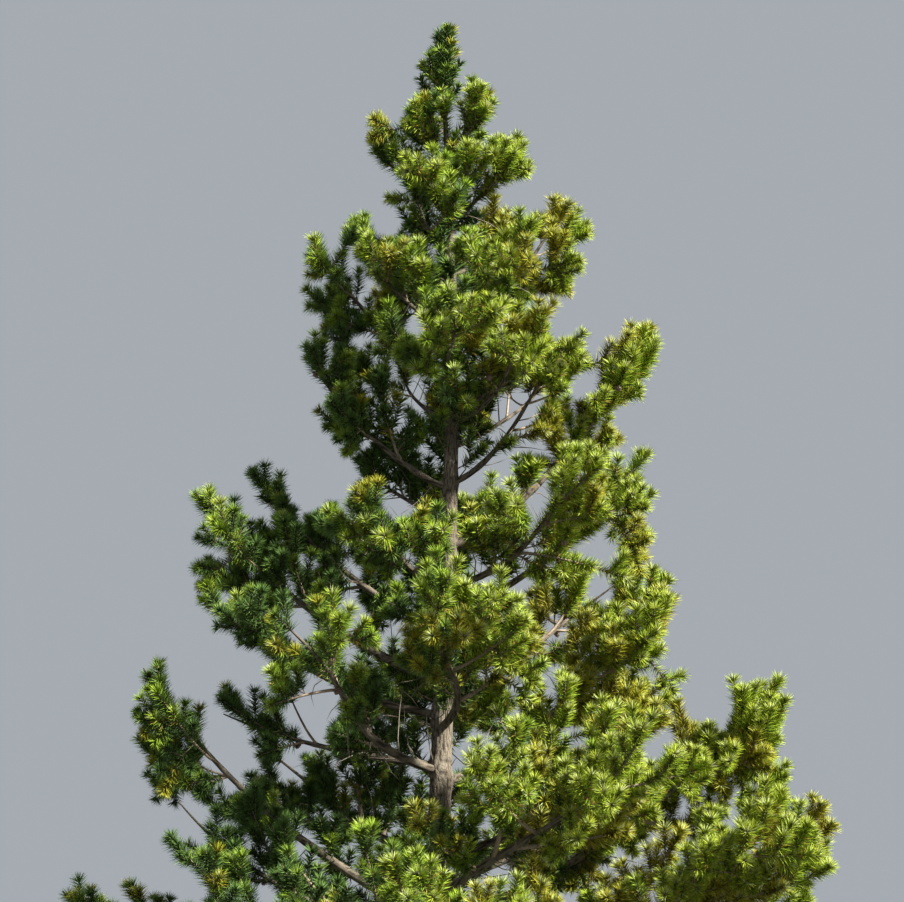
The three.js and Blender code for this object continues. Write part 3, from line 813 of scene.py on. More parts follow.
@functools.cache
def filling_twigs():
    """Twigs from the stems nearest to each filled place, by the limb that bears them."""
    made = {}
    eye = viewpoint()
    stems = [stem for limb in grown_limbs() for stem in [limb, *limb.kept]]
    feet = np.stack([stem.at(np.array([0.35, 0.5, 0.65]) * stem.tip) for stem in stems])
    seen = seen_at(feet.reshape(-1, 3)).reshape(feet.shape)
    for right, height in FILLED_PLACES:
        apart = np.hypot(seen[..., 0] - right, seen[..., 2] - height)
        apart = np.where(apart < FILLING_LEAST_AIM, 9, apart)
        best = apart.argmin(axis=1)
        for index in np.argsort(apart.min(axis=1))[:FILLING_TWIGS]:
            foot = feet[index, best[index]]
            aim = eye + (np.array([right, 0, height]) - eye) * ((foot[1] - eye[1]) / -eye[1]) - foot
            flat = unit(aim * [1, 1, 0])
            length = float(np.clip(np.linalg.norm(aim) + 0.1, *FILLING_LENGTHS))
            climb = math.atan2(aim[2], np.hypot(aim[0], aim[1]))
            owner = stems[index].owner
            twig = spray_stem(owner, foot, flat, math.cos(climb), math.sin(climb), length, THIN_TWIG_RADIUS)
            made.setdefault(owner, []).append(twig)
    return made


def tip_share(limb):
    """How far along a limb its stem runs: less than 1 where its tip would fill an opening."""
    return float(SHARES_LOOKED_AT[~in_opening(limb.at(SHARES_LOOKED_AT))][-1])


def cut_short(stem, end):
    """The stem with its tip at the given share of its length, and needled up to there."""
    if end == 1:
        return stem
    leafy, reach = needling(stem.length * end, SPRAY_LEAFY_SHARE)
    return Stem(stem.owner, stem.name, lambda share: stem.at(np.asarray(share, float) * end),
                stem.radius_at, stem.length * end, leafy, min(reach, stem.reach), stem.out, stem.across)


def shortened(stem):
    """A spray or twig as far as it keeps out of the openings, or nothing if little of it does."""
    inside = in_opening(stem.at(SHARES_LOOKED_AT))
    inside[:(~inside).argmax()] = False
    end = float(SHARES_LOOKED_AT[inside.argmax()]) - SHARE_STEP if inside.any() else 1
    return cut_short(stem, end) if end >= LEAST_KEPT else None


def grow_shoots(limb, growth, dice):
    """Every shoot of one limb, its sprays and their branchlets."""
    shoots = Shoots()
    limb.branchlets = list(filling_twigs().get(limb.owner, []))
    if limb.owner != LEADER:
        limb.branchlets += branchlets(limb, True, dice) + trunk_twigs().get(limb.owner, [])
        for spray in limb.kept:
            limb.branchlets += branchlets(spray, False, dice)
    limb.branchlets = [stem for stem in map(shortened, limb.branchlets) if stem]
    for stem in [cut_short(limb, limb.tip), *limb.kept, *limb.branchlets]:
        start, run, lift = whorl_shoots(stem, growth, dice)
        radius = 0.003 + 0.013 * np.linalg.norm(run, axis=1)
        add_shoots(shoots, stem, start, run, lift, 0.8, growth, dice,
                   bare=SHOOT_BARE_SHARE, radius=radius, twig=1, tuft=1)
        start, run, lift = end_shoots(stem)
        is_tip = (np.arange(len(start)) == len(start) - 1).astype(float)
        add_shoots(shoots, stem, start, run, lift, 0.5 + 0.6 * is_tip, growth, dice,
                   bare=0, radius=0.003, twig=0, tuft=is_tip)
    return shoots.joined()


@functools.cache
def grown_shoots():
    """The shoots of every limb, in the limbs' order."""
    growth = bpy.context.scene.pine_growth
    return [grow_shoots(limb, growth, np.random.default_rng(SHOOT_SEED + limb.owner))
            for limb in grown_limbs()]


def joined_rows(rows):
    """One set of rows from several."""
    return {name: np.concatenate([row[name] for row in rows]) for name in rows[0]}


def needle_mesh(shoots, growth, dice):
    """Needles in pairs, set in a spiral along the shoots. Each needle is a long pointed face, and the two
    of a pair part from one sheath and face different ways. Also how far along its needle each point is."""
    per = shoots["needles"].astype(int)
    which = np.repeat(np.arange(len(per)), per)
    count = len(which)
    order = np.arange(count) - np.repeat(np.cumsum(per) - per, per)
    share = (order + 0.5) / per[which]
    bare, tuft = shoots["bare"][which], shoots["tuft"][which]
    place = bare + (1 + TUFT_SHARE * tuft - bare) * share
    in_tuft = place > 1
    place = np.minimum(place, 1)[:, None]
    start, run, lift = (shoots[name][which] for name in CURVE)
    along = unit(run + 2 * lift * place)
    first, second = frame_round(along)
    turn = (order * GOLDEN_ANGLE + 7 * chance(which, 1, 2))[:, None]
    outward = first * np.cos(turn) + second * np.sin(turn)
    dome = np.degrees(np.arccos(dice.uniform(0.3, 1, count)))
    lean = NEEDLE_LEAN_AT_FOOT - NEEDLE_LEAN_LOST * place[:, 0] + dice.normal(0, NEEDLE_LEAN_NOISE, count)
    lean = np.radians(np.where(in_tuft, dome, lean))[:, None]
    way = unit(along * np.cos(lean) + outward * np.sin(lean) + UP * NEEDLE_RISE)
    length = growth.needle_length * shoots["size"][which] * dice.uniform(*NEEDLE_SIZES, count)
    length = (length * np.where(in_tuft, TUFT_NEEDLE_SIZE, 1))[:, None]
    side = unit(np.cross(way, unit(outward + dice.normal(0, 0.6, (count, 3)))))
    back = np.cross(side, way)
    half = (growth.needle_width / 2 * shoots["broad"][which])[:, None]
    root = start + run * place + lift * place ** 2 + outward * (shoots["radius"][which] * 0.6)[:, None]
    slant = unit(side + back * 0.5)
    other = unit(side - back * 0.5)
    points = np.stack([
        root + slant * half, root - slant * half, root + (way + side * 0.13 + back * 0.06) * length,
        root + other * half, root - other * half, root + (way - side * 0.13 + back * 0.1) * length * 0.93,
    ], axis=1).reshape(-1, 3)
    faces = np.arange(count * 6).reshape(-1, 3)
    of_shoot = shoots["tone"][which]
    tone = np.clip(of_shoot + (share < 0.6) + (share < 0.3), SUNNY, BLUISH)
    # Ruddy needles: golden as the lit copy and olive as the shaded copy, by the tone that the painted sun
    # share gave.
    ruddy = shoots["ruddy"][which] & (tone < DEEP)
    tone = np.where(ruddy, np.where(tone < FRESH, GOLDEN, OLIVE), tone)
    is_sunny = of_shoot < GRASS
    tone = np.where((share < 0.4) & is_sunny & (chance(order, which, 8) < STRAW_SHARE), STRAW, tone)
    # Pale tips: the newest needles and in part a painted highlight, only on sunny shoots.
    tone = np.where(in_tuft & is_sunny & (chance(order, which, 9) < PALE_SHARE), PALE, tone)
    # The last array, 0 at each needle's foot and 1 at its tip, is where the finish paints shade at the
    # needle's foot.
    return points, faces, np.repeat(tone, 2), np.tile([0.0, 0, 1], count * 2)


def keep_values(mesh, name, values):
    """Keeps a number for each point of a mesh, for its finish to read."""
    attribute = mesh.attributes.new(name, "FLOAT", "POINT")
    attribute.data.foreach_set("value", np.ascontiguousarray(values, np.float32))


def mesh_from(name, points, faces, finish=None, reach=None, smooth=False):
    """An object whose mesh is made from arrays of points and of faces with equally many corners."""
    mesh = bpy.data.meshes.new(name)
    mesh.vertices.add(len(points))
    mesh.vertices.foreach_set("co", np.ascontiguousarray(points, np.float32).ravel())
    mesh.loops.add(faces.size)
    mesh.loops.foreach_set("vertex_index", np.ascontiguousarray(faces, np.int32).ravel())
    mesh.polygons.add(len(faces))
    starts = np.arange(0, faces.size, faces.shape[1], dtype=np.int32)
    mesh.polygons.foreach_set("loop_start", starts)
    if finish is not None:
        mesh.polygons.foreach_set("material_index", np.ascontiguousarray(finish, np.int32))
    if reach is not None:
        keep_values(mesh, "reach", reach)
    mesh.polygons.foreach_set("use_smooth", np.full(len(faces), smooth))
    mesh.update(calc_edges=True)
    if mesh.validate():
        raise RuntimeError(f"{name} has faces that Blender can't keep")
    piece = bpy.data.objects.new(name, mesh)
    bpy.context.scene.collection.objects.link(piece)
    return piece


def tubes(centres, radii, sides):
    """Triangles of closed tapering tubes, one for each row of centres, whose last ring is a point."""
    count, rings = radii.shape
    along = unit(np.gradient(centres, axis=1))
    first, _ = frame_round(unit(centres[:, -1] - centres[:, 0]))
    first = unit(first[:, None] - along * np.sum(first[:, None] * along, axis=2, keepdims=True))
    second = np.cross(along, first)
    angle = 2 * np.pi * np.arange(sides) / sides
    ring = first[:, :, None] * np.cos(angle)[:, None] + second[:, :, None] * np.sin(angle)[:, None]
    walls = centres[:, :-1, None] + ring[:, :-1] * radii[:, :-1, None, None]
    points = np.concatenate([walls.reshape(count, -1, 3), centres[:, -1:], centres[:, :1]], axis=1)
    size = points.shape[1]
    corner = np.arange(sides)
    following = (corner + 1) % sides
    faces = []
    for storey in range(rings - 2):
        low, high = storey * sides, (storey + 1) * sides
        faces.append(np.stack([low + corner, low + following, high + following], axis=1))
        faces.append(np.stack([low + corner, high + following, high + corner], axis=1))
    last = (rings - 2) * sides
    faces.append(np.stack([last + corner, last + following, np.full(sides, size - 2)], axis=1))
    faces.append(np.stack([following, corner, np.full(sides, size - 1)], axis=1))
    faces = np.concatenate(faces)
    faces = (faces[None] + np.arange(count)[:, None, None] * size).reshape(-1, 3)
    return points.reshape(-1, 3), faces


def joined_meshes(meshes):
    """One array of points and one of faces from several."""
    offsets = np.cumsum([0] + [len(points) for points, _ in meshes[:-1]])
    points = np.concatenate([points for points, _ in meshes])
    faces = np.concatenate([faces + offset for offset, (_, faces) in zip(offsets, meshes)])
    return points, faces


def stem_tubes(stems, rings, sides):
    """The stems of sprays or branchlets."""
    share = np.linspace(0, 1, rings)
    radii = np.stack([stem.radius_at(share) for stem in stems])
    radii[:, -1] = 0
    return tubes(np.stack([stem.at(share) for stem in stems]), radii, sides)


def shoot_tubes():
    """The twig inside each side shoot."""
    shoots = joined_rows(grown_shoots())
    twigs = shoots["twig"] > 0
    share = np.array([0, 0.5, 1.0])[None, :, None]
    start, run, lift = (shoots[name][twigs][:, None] for name in CURVE)
    radii = shoots["radius"][twigs][:, None] * np.array([1, 0.8, 0])
    return tubes(start + run * share + lift * share ** 2, radii, 3)


def dead_twig_tubes():
    """Thin crooked twigs, long bare of needles, along the inner part of each limb."""
    centres, radii = [], []
    for limb in grown_limbs()[:LEADER]:
        dice = np.random.default_rng(DEAD_TWIG_SEED + limb.owner)
        bare = (1 - limb.leafy) * 0.95
        count = max(2, round(bare * limb.length / DEAD_TWIGS_APART))
        share = bare * (np.arange(count) + dice.uniform(0.5, 1, count)) / count
        along = limb.tangent_at(share)
        first, second = frame_round(along)
        turn = dice.uniform(0, 2 * np.pi, count)[:, None]
        forward = along * dice.uniform(0.1, 0.9, count)[:, None]
        way = unit(first * np.cos(turn) + second * np.sin(turn) + forward)
        length = dice.uniform(*DEAD_TWIG_LENGTHS, count)[:, None]
        start = limb.at(share)
        bend = dice.normal(0, 0.22, (count, 3))
        steps = [start, start + way * length * 0.4, start + (way + bend * 0.8) * length * 0.75,
                 start + (way + bend * 1.6) * length]
        inside = outness_of(steps[-1]) < DEAD_TWIGS_WITHIN
        centres.append(np.stack(steps, axis=1)[inside])
        radii.append(((0.0035 + 0.008 * length) * np.array([1, 0.8, 0.55, 0]))[inside])
    return tubes(np.concatenate(centres), np.concatenate(radii), 3)


def bud_mesh():
    """A winter bud on the end of each shoot: a slim double pyramid."""
    shoots = joined_rows(grown_shoots())
    tips = shoots["tuft"] > 0
    start, run, lift = (shoots[name][tips] for name in CURVE)
    size = shoots["size"][tips][:, None, None]
    along = unit(run + 2 * lift)
    first, second = frame_round(along)
    foot = (start + run + lift - along * 0.004)[:, None]
    first, second, along = first[:, None], second[:, None], along[:, None]
    waist = foot + along * BUD_WAIST_AT * size
    ring = [waist + (first * math.cos(turn) + second * math.sin(turn)) * BUD_RADIUS * size
            for turn in (0, 2 * math.pi / 3, 4 * math.pi / 3)]
    points = np.concatenate([foot, *ring, foot + along * BUD_LENGTH * size], axis=1)
    shape = np.array([[0, 2, 1], [0, 3, 2], [0, 1, 3], [4, 1, 2], [4, 2, 3], [4, 3, 1]])
    faces = shape[None] + np.arange(len(points))[:, None, None] * 5
    return points.reshape(-1, 3), faces.reshape(-1, 3)


def unit_tube(sides, *cuts):
    """An upright closed tube, one metre high and in radius, its wall cut into even rings in turn."""
    bpy.ops.object.select_all(action="DESELECT")
    bpy.ops.mesh.primitive_cylinder_add(vertices=sides, radius=1, depth=1, end_fill_type="TRIFAN")
    tube = bpy.context.active_object
    bpy.ops.object.mode_set(mode="EDIT")
    bpy.ops.mesh.select_mode(type="EDGE")
    for number in cuts:
        bpy.ops.mesh.select_all(action="DESELECT")
        shape = bmesh.from_edit_mesh(tube.data)
        for edge in shape.edges:
            edge.select_set(abs(edge.verts[0].co.z - edge.verts[1].co.z) > 1e-4)
        bmesh.update_edit_mesh(tube.data)
        bpy.ops.mesh.subdivide(number_cuts=number)
    bpy.ops.object.mode_set(mode="OBJECT")
    return tube


def points_of(piece):
    points = np.zeros(len(piece.data.vertices) * 3)
    piece.data.vertices.foreach_get("co", points)
    return points.reshape(-1, 3)


def tube_rows(tube):
    """Of each point of a unit tube: its x, its y, how far up it is, and whether it ends the tube's axis."""
    x, y, z = points_of(tube).T
    return x, y, np.clip(z + 0.5, 0, 1), np.hypot(x, y) < 1e-6


def set_points(piece, points, plate):
    """Moves a piece's points, and keeps how far each is into a bark plate for the bark's colours."""
    piece.data.vertices.foreach_set("co", np.ascontiguousarray(points, np.float32).ravel())
    keep_values(piece.data, "plate", plate)
    piece.data.polygons.foreach_set("use_smooth", np.ones(len(piece.data.polygons), bool))
    piece.data.update()


def bark_plates(around, along, cells, seed):
    """How far into a bark plate each point is: 0 in a fissure and 1 on a plate's face."""
    column, row = np.floor(around), np.floor(along)
    nearest = np.full(np.shape(around), 9.0)
    second = nearest.copy()
    for step_x in (-1, 0, 1):
        for step_y in (-1, 0, 1):
            x, y = column + step_x, row + step_y
            wrapped = np.mod(x, cells)
            across = around - x - 0.12 - 0.76 * chance(wrapped, y, seed)
            apart = np.hypot(across, along - y - 0.12 - 0.76 * chance(wrapped, y, seed + 1))
            second = np.minimum(second, np.maximum(nearest, apart))
            nearest = np.minimum(nearest, apart)
    return smooth_step(0, 0.32, second - nearest)


def trunk_piece(bark):
    """The trunk, with its root flare, plated bark and a collar round the foot of each limb."""
    tube = unit_tube(TRUNK_SIDES, *TRUNK_CUTS)
    tube.name = "trunk_bark"
    x, y, rise, is_middle = tube_rows(tube)
    height = TRUNK_TOP * rise ** RINGS_LOW
    angle = np.mod(np.arctan2(x, -y), 2 * np.pi)
    lobe = ROOT_LOBE_DEPTH * np.cos(ROOT_LOBES * angle) * np.exp(-height / FLARE_HEIGHT)
    radius = trunk_radius_at(height) * (1 + lobe)
    cells = round(2 * np.pi * trunk_radius_at(1.0) / bark.plate_width)
    levels = np.linspace(0, TRUNK_TOP, 2000)
    rows = np.cumsum(cells / (3.4 * np.pi * trunk_radius_at(levels))) * levels[1]
    along = np.interp(height, levels, rows)
    wander = 0.35 * np.sin(along * 0.9 + 3 * np.sin(angle))
    plate = bark_plates(angle / (2 * np.pi) * cells + wander, along, cells, PLATE_SEED)
    small = bark_plates(angle / np.pi * cells, along * 2.3, cells * 2, SMALL_PLATE_SEED)
    depth = bark.fissure_depth * (1 - 0.55 * height / TRUNK_TOP)
    radius = radius * (1 + depth * (plate - 0.75) + depth * 0.3 * (small - 0.7))
    middle = trunk_at(height)
    for limb in grown_limbs()[:LEADER]:
        heading = math.atan2(limb.out[0], -limb.out[1])
        turn = np.mod(angle - heading + np.pi, 2 * np.pi) - np.pi
        thick = float(limb.radius_at(0))
        foot = LIMBS[limb.owner][1]
        apart = np.hypot(turn * radius, (height - foot - thick * 0.6) * 0.8)
        radius = radius + thick * 0.55 * np.exp(-(apart / (1.5 * thick)) ** 2)
    radius = np.where(is_middle, 0, radius)
    right, away = middle[:, 0] + radius * np.sin(angle), middle[:, 1] - radius * np.cos(angle)
    set_points(tube, np.stack([right, away, height], axis=1), plate * 0.8 + small * 0.2)
    return tube


def limb_piece(mould, limb, from_share, to_share, name):
    """A stretch of a limb, bent from a copy of the unit tube, with scaly bark and knots."""
    piece = bpy.data.objects.new(name, mould.data.copy())
    bpy.context.scene.collection.objects.link(piece)
    x, y, rise, is_middle = tube_rows(mould)
    share = from_share + (to_share - from_share) * rise
    angle = np.mod(np.arctan2(y, x), 2 * np.pi)
    along = limb.tangent_at(share)
    first = unit(limb.across - along * (along @ limb.across)[:, None])
    second = np.cross(along, first)
    radius = limb.radius_at(share / limb.tip)
    cells = LIMB_PLATES_ROUND
    plate = bark_plates(angle / (2 * np.pi) * cells, share * limb.length * LIMB_PLATES_PER_METRE, cells,
                        LIMB_PLATE_SEED + limb.owner)
    knots = sum(np.exp(-((share - at) * limb.length / 0.05) ** 2) for at in np.arange(0.2, 0.95, 0.16))
    radius = radius * (1 + 0.09 * (plate - 0.7) + 0.14 * knots)
    radius = np.where(is_middle, 0, radius)[:, None]
    way = first * np.cos(angle)[:, None] + second * np.sin(angle)[:, None]
    set_points(piece, limb.at(share) + way * radius, plate)
    return piece


def joined_pieces(pieces, name):
    """One piece from several, with its own name."""
    bpy.ops.object.select_all(action="DESELECT")
    for piece in pieces:
        piece.select_set(True)
    bpy.context.view_layer.objects.active = pieces[0]
    if len(pieces) > 1:
        bpy.ops.object.join()
    pieces[0].name = name
    pieces[0].data.name = name
    return pieces[0]


def cone_mould(growth):
    """One open cone hanging from the origin along -Z: a core under rows of thick, lifted scales."""
    bpy.ops.object.select_all(action="DESELECT")
    bpy.ops.mesh.primitive_uv_sphere_add(segments=6, ring_count=5, radius=1)
    core = bpy.context.active_object
    core_radius = growth.cone_radius * 0.6
    core_points = points_of(core) * [core_radius, core_radius, growth.cone_length / 2]
    core_faces = triangles_of(core)
    bpy.ops.mesh.primitive_cone_add(vertices=4, radius1=1, radius2=0, depth=1, end_fill_type="NGON")
    scale = bpy.context.active_object
    scale_points = points_of(scale) * CONE_SCALE_SIZE
    scale_faces = triangles_of(scale)
    for used in (core, scale):
        bpy.data.objects.remove(used)
    meshes = [(core_points, core_faces)]
    for order in range(CONE_SCALES):
        share = (order + 0.5) / CONE_SCALES
        swell = math.sin(math.pi * (0.12 + 0.83 * share)) ** 0.6
        lift = math.radians(118 - 70 * share)
        out = level(order * GOLDEN_ANGLE)
        way = out * math.sin(lift) + UP * math.cos(lift)
        side = np.cross(UP, out)
        middle = out * growth.cone_radius * 0.62 * swell + UP * growth.cone_length * (0.47 - 0.94 * share)
        turned = np.array([side, np.cross(side, way), -way]) * (0.7 + 0.5 * swell)
        meshes.append((scale_points @ turned + middle, scale_faces))
    points, faces = joined_meshes(meshes)
    return points - UP * growth.cone_length / 2, faces


def triangles_of(piece):
    """The triangles of a small mesh, its polygons cut into fans and always in the same order."""
    faces = []
    for polygon in piece.data.polygons:
        corners = list(polygon.vertices)
        faces.extend([corners[0], b, c] for b, c in zip(corners[1:], corners[2:]))
    return np.array(sorted(faces))


def cone_places(growth):
    """Where each cone hangs and which way: under the long limbs, then at the feet of side shoots."""
    places = []
    for limb in grown_limbs()[:LEADER]:
        if limb.length > CONE_BEARING_LENGTH:
            places.append((limb.at(CONE_SHARE), unit(limb.out * 0.4 - UP)))
    shoots = joined_rows(grown_shoots()[:LEADER])
    twigs = np.flatnonzero(shoots["twig"] > 0)
    dice = np.random.default_rng(CONE_SEED)
    for pick in dice.choice(twigs, growth.loose_cones, replace=False):
        way = unit(unit(shoots["run"][pick]) * 0.8 - UP * 0.9 + dice.normal(0, 0.25, 3))
        places.append((shoots["start"][pick] + shoots["run"][pick] * 0.15, way))
    return places


def cone_mesh(growth):
    """Every cone, turned its own way."""
    mould_points, mould_faces = cone_mould(growth)
    meshes = []
    for place, way in cone_places(growth):
        first, second = frame_round(-way)
        meshes.append((mould_points @ np.array([first, second, -way]) + place, mould_faces))
    return joined_meshes(meshes)


# Finishes


def feed(tree, socket, value):
    """Gives an input a value, or another node's output."""
    if isinstance(value, bpy.types.NodeSocket):
        tree.links.new(value, socket)
    else:
        socket.default_value = value


def add_node(tree, kind, settings=(), **inputs):
    """A node with some of its settings and inputs given."""
    node = tree.nodes.new(kind)
    for name, value in dict(settings).items():
        setattr(node, name, value)
    for name, value in inputs.items():
        feed(tree, node.inputs[name.replace("_", " ")], value)
    return node


def mixed(tree, share, first, second):
    """A colour between two others."""
    node = add_node(tree, "ShaderNodeMix", {"data_type": "RGBA"})
    for index, value in ((0, share), (6, first), (7, second)):
        feed(tree, node.inputs[index], value)
    return node.outputs[2]


def reckoned(tree, operation, *values):
    """The result of a sum."""
    node = add_node(tree, "ShaderNodeMath", {"operation": operation})
    for socket, value in zip(node.inputs, values):
        feed(tree, socket, value)
    return node.outputs[0]


def ranged(tree, value, low, high, to_low, to_high):
    """A value moved from one range to another, and held there."""
    node = add_node(tree, "ShaderNodeMapRange", Value=value)
    for name, limit in (("From Min", low), ("From Max", high), ("To Min", to_low), ("To Max", to_high)):
        node.inputs[name].default_value = limit
    return node.outputs["Result"]


def new_group(name, inputs, outputs):
    """An empty node group with its named inputs and outputs."""
    group = bpy.data.node_groups.new(name, "ShaderNodeTree")
    for in_out, sockets in (("INPUT", inputs), ("OUTPUT", outputs)):
        for socket_name, kind in sockets:
            group.interface.new_socket(name=socket_name, in_out=in_out, socket_type=f"NodeSocket{kind}")
    return group, group.nodes.new("NodeGroupInput").outputs, group.nodes.new("NodeGroupOutput").inputs


@functools.cache
def bark_group():
    """Scaly bark: weathered plates over dark fissures, with ruddy specks, streaks and fine cracks."""
    group, given, made = new_group(
        "scaly_bark",
        [("Plate", "Color"), ("Fissure", "Color"), ("Depth", "Float"), ("Scale", "Float"),
         ("Stretch", "Vector")],
        [("Colour", "Color"), ("Roughness", "Float"), ("Height", "Float")])
    place = add_node(group, "ShaderNodeTexCoord").outputs["Object"]
    place = add_node(group, "ShaderNodeMapping", Vector=place, Scale=given["Stretch"]).outputs["Vector"]
    large = add_node(group, "ShaderNodeTexNoise", Vector=place, Scale=given["Scale"], Detail=5.0,
                     Roughness=0.6).outputs["Fac"]
    fine_scale = reckoned(group, "MULTIPLY", given["Scale"], 6.5)
    fine = add_node(group, "ShaderNodeTexNoise", Vector=place, Scale=fine_scale, Detail=6.0,
                    Roughness=0.7).outputs["Fac"]
    cracks = add_node(group, "ShaderNodeTexVoronoi", {"feature": "DISTANCE_TO_EDGE"}, Vector=place,
                      Scale=fine_scale)
    crack = ranged(group, cracks.outputs["Distance"], 0.0, 0.12, 0.0, 1.0)
    weathered = mixed(group, ranged(group, large, 0.35, 0.68, 0.0, 0.75), given["Plate"], WEATHERED_BARK)
    ruddy = mixed(group, ranged(group, fine, 0.52, 0.7, 0.0, 0.5), weathered, RUDDY_BARK)
    plated = mixed(group, ranged(group, given["Depth"], 0.15, 0.8, 0.0, 1.0), given["Fissure"], ruddy)
    cracked = mixed(group, ranged(group, crack, 0.0, 1.0, 0.55, 0.0), plated, given["Fissure"])
    feed(group, made["Colour"], cracked)
    feed(group, made["Roughness"], ranged(group, fine, 0.3, 0.7, 0.98, 0.78))
    feed(group, made["Height"], reckoned(group, "MULTIPLY_ADD", crack, 0.5, fine))
    return group


@functools.cache
def grain_group():
    """A plain tone broken by a fine grain, lighter and duller in places, over a painted shade at its foot.
    """
    group, given, made = new_group(
        "fine_grain",
        [("Tone", "Color"), ("Light", "Color"), ("Shade", "Color"), ("Depth", "Float"), ("Amount", "Float"),
         ("Scale", "Float")],
        [("Colour", "Color"), ("Roughness", "Float"), ("Height", "Float")])
    place = add_node(group, "ShaderNodeTexCoord").outputs["Object"]
    grain = add_node(group, "ShaderNodeTexNoise", Vector=place, Scale=given["Scale"], Detail=3.0,
                     Roughness=0.6).outputs["Fac"]
    lightness = reckoned(group, "MULTIPLY", ranged(group, grain, 0.35, 0.7, 0.0, 1.0), given["Amount"])
    grained = mixed(group, lightness, given["Tone"], given["Light"])
    # Painted shade: where Depth is near 0, as at a needle's foot, the colour sinks to the Shade colour, as
    # the core of a brush would be in shade.
    out_of_shade = ranged(group, given["Depth"], 0.05, 0.7, 0.0, 1.0)
    feed(group, made["Colour"], mixed(group, out_of_shade, given["Shade"], grained))
    feed(group, made["Roughness"], ranged(group, grain, 0.3, 0.7, 0.42, 0.6))
    feed(group, made["Height"], grain)
    return group


def finish_from(name, group, bump, gloss, values, attribute=None):
    """A material whose colour, roughness and relief come from a group with its own values. The bump is
    its strength and its height in metres."""
    material = bpy.data.materials.new(name)
    material.use_nodes = True
    tree = material.node_tree
    shader = next(node for node in tree.nodes if node.type == "BSDF_PRINCIPLED")
    source = add_node(tree, "ShaderNodeGroup", {"node_tree": group})
    for key, value in values.items():
        source.inputs[key].default_value = (*value, 1) if "Color" in source.inputs[key].bl_idname else value
    if attribute:
        mask = add_node(tree, "ShaderNodeAttribute", {"attribute_name": attribute})
        tree.links.new(mask.outputs["Fac"], source.inputs["Depth"])
    strength, distance = bump
    relief = add_node(tree, "ShaderNodeBump", Height=source.outputs["Height"], Strength=strength,
                      Distance=distance)
    tree.links.new(source.outputs["Colour"], shader.inputs["Base Color"])
    tree.links.new(source.outputs["Roughness"], shader.inputs["Roughness"])
    tree.links.new(relief.outputs["Normal"], shader.inputs["Normal"])
    shader.inputs["Specular IOR Level"].default_value = gloss
    return material


def grained_finish(name, tone, light, shade, amount, scale, bump, gloss, attribute=None):
    """A finish in one tone with a fine grain, over its painted shade where a named attribute is near 0."""
    values = {"Tone": tuple(tone), "Light": tuple(light), "Shade": tuple(shade), "Depth": 1.0,
              "Amount": amount, "Scale": scale}
    return finish_from(name, grain_group(), bump, gloss, values, attribute)


def lighter(colour, share):
    """A colour part of the way to white."""
    return tuple(part + (1 - part) * share for part in colour)


@functools.cache
def needle_finishes():
    """One finish for each needle tone, in the order of TONES."""
    tones = bpy.context.scene.pine_tones
    made = []
    for name in TONES:
        tone = tuple(getattr(tones, name))
        light = [part * 1.4 for part in tone]
        # Painted shade at each needle's foot: about a fifth of its tone, with a small sheath tint added.
        shade = [part * 0.22 + brown for part, brown in zip(tone, (0.003, 0.004, 0.002))]
        made.append(grained_finish(f"needle_{name}", tone, light, shade, amount=0.8, scale=60.0,
                                   bump=(0.25, 0.001), gloss=0.12, attribute="reach"))
    return made


@functools.cache
def bark_finish(name, scale, stretch):
    """The trunk's or the limbs' bark, at its own scale."""
    bark = bpy.context.scene.pine_bark
    values = {"Plate": tuple(bark.plate_colour), "Fissure": tuple(bark.fissure_colour), "Depth": 1.0,
              "Scale": scale, "Stretch": stretch}
    return finish_from(name, bark_group(), bump=(0.8, 0.006), gloss=0.25, values=values, attribute="plate")


def small_finish(name, tone, light, scale):
    """The finish of a small piece such as a twig, bud or cone."""
    return grained_finish(name, tone, light, shade=tone, amount=0.8, scale=scale, bump=(0.5, 0.002),
                          gloss=0.4)


def settle(piece, finishes, slot, *nodes):
    """Gives a finished piece its materials and its body, and hides the solids that it stands for. The slot
    is not used.
    """
    for finish in finishes:
        piece.data.materials.append(finish)
    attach(piece, "root")
    if nodes:
        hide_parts(*nodes)


# Operators


class PINE_OT_trunk(bpy.types.Operator):
    """Make the trunk with its flare, collars and plated bark"""

    bl_idname = "pine.trunk"
    bl_label = "Trunk"

    def execute(self, context):
        piece = trunk_piece(context.scene.pine_bark)
        settle(piece, [bark_finish("trunk_bark", 9.0, (1, 1, 0.4))], "bark", "trunk")
        return {"FINISHED"}


class PINE_OT_limbs(bpy.types.Operator):
    """Make the six boughs, and the stems that run on from boughs and trunk into the foliage"""

    bl_idname = "pine.limbs"
    bl_label = "Boughs and stems"

    def execute(self, context):
        mould = unit_tube(LIMB_SIDES, LIMB_CUTS)
        finish = bark_finish("limb_bark", 22.0, (1, 1, 1))
        stems = []
        for limb in grown_limbs():
            if limb.has_bough:
                bough = limb_piece(mould, limb, 0, BOUGH_SHARE, f"bough_bark_{limb.name}")
                settle(bough, [finish], "bark", f"bough_{limb.name}")
            stems.append(limb_piece(mould, limb, limb.mass_start, limb.tip, "stem"))
        bpy.data.objects.remove(mould)
        settle(joined_pieces(stems, "limb_stems"), [finish], "bark")
        return {"FINISHED"}


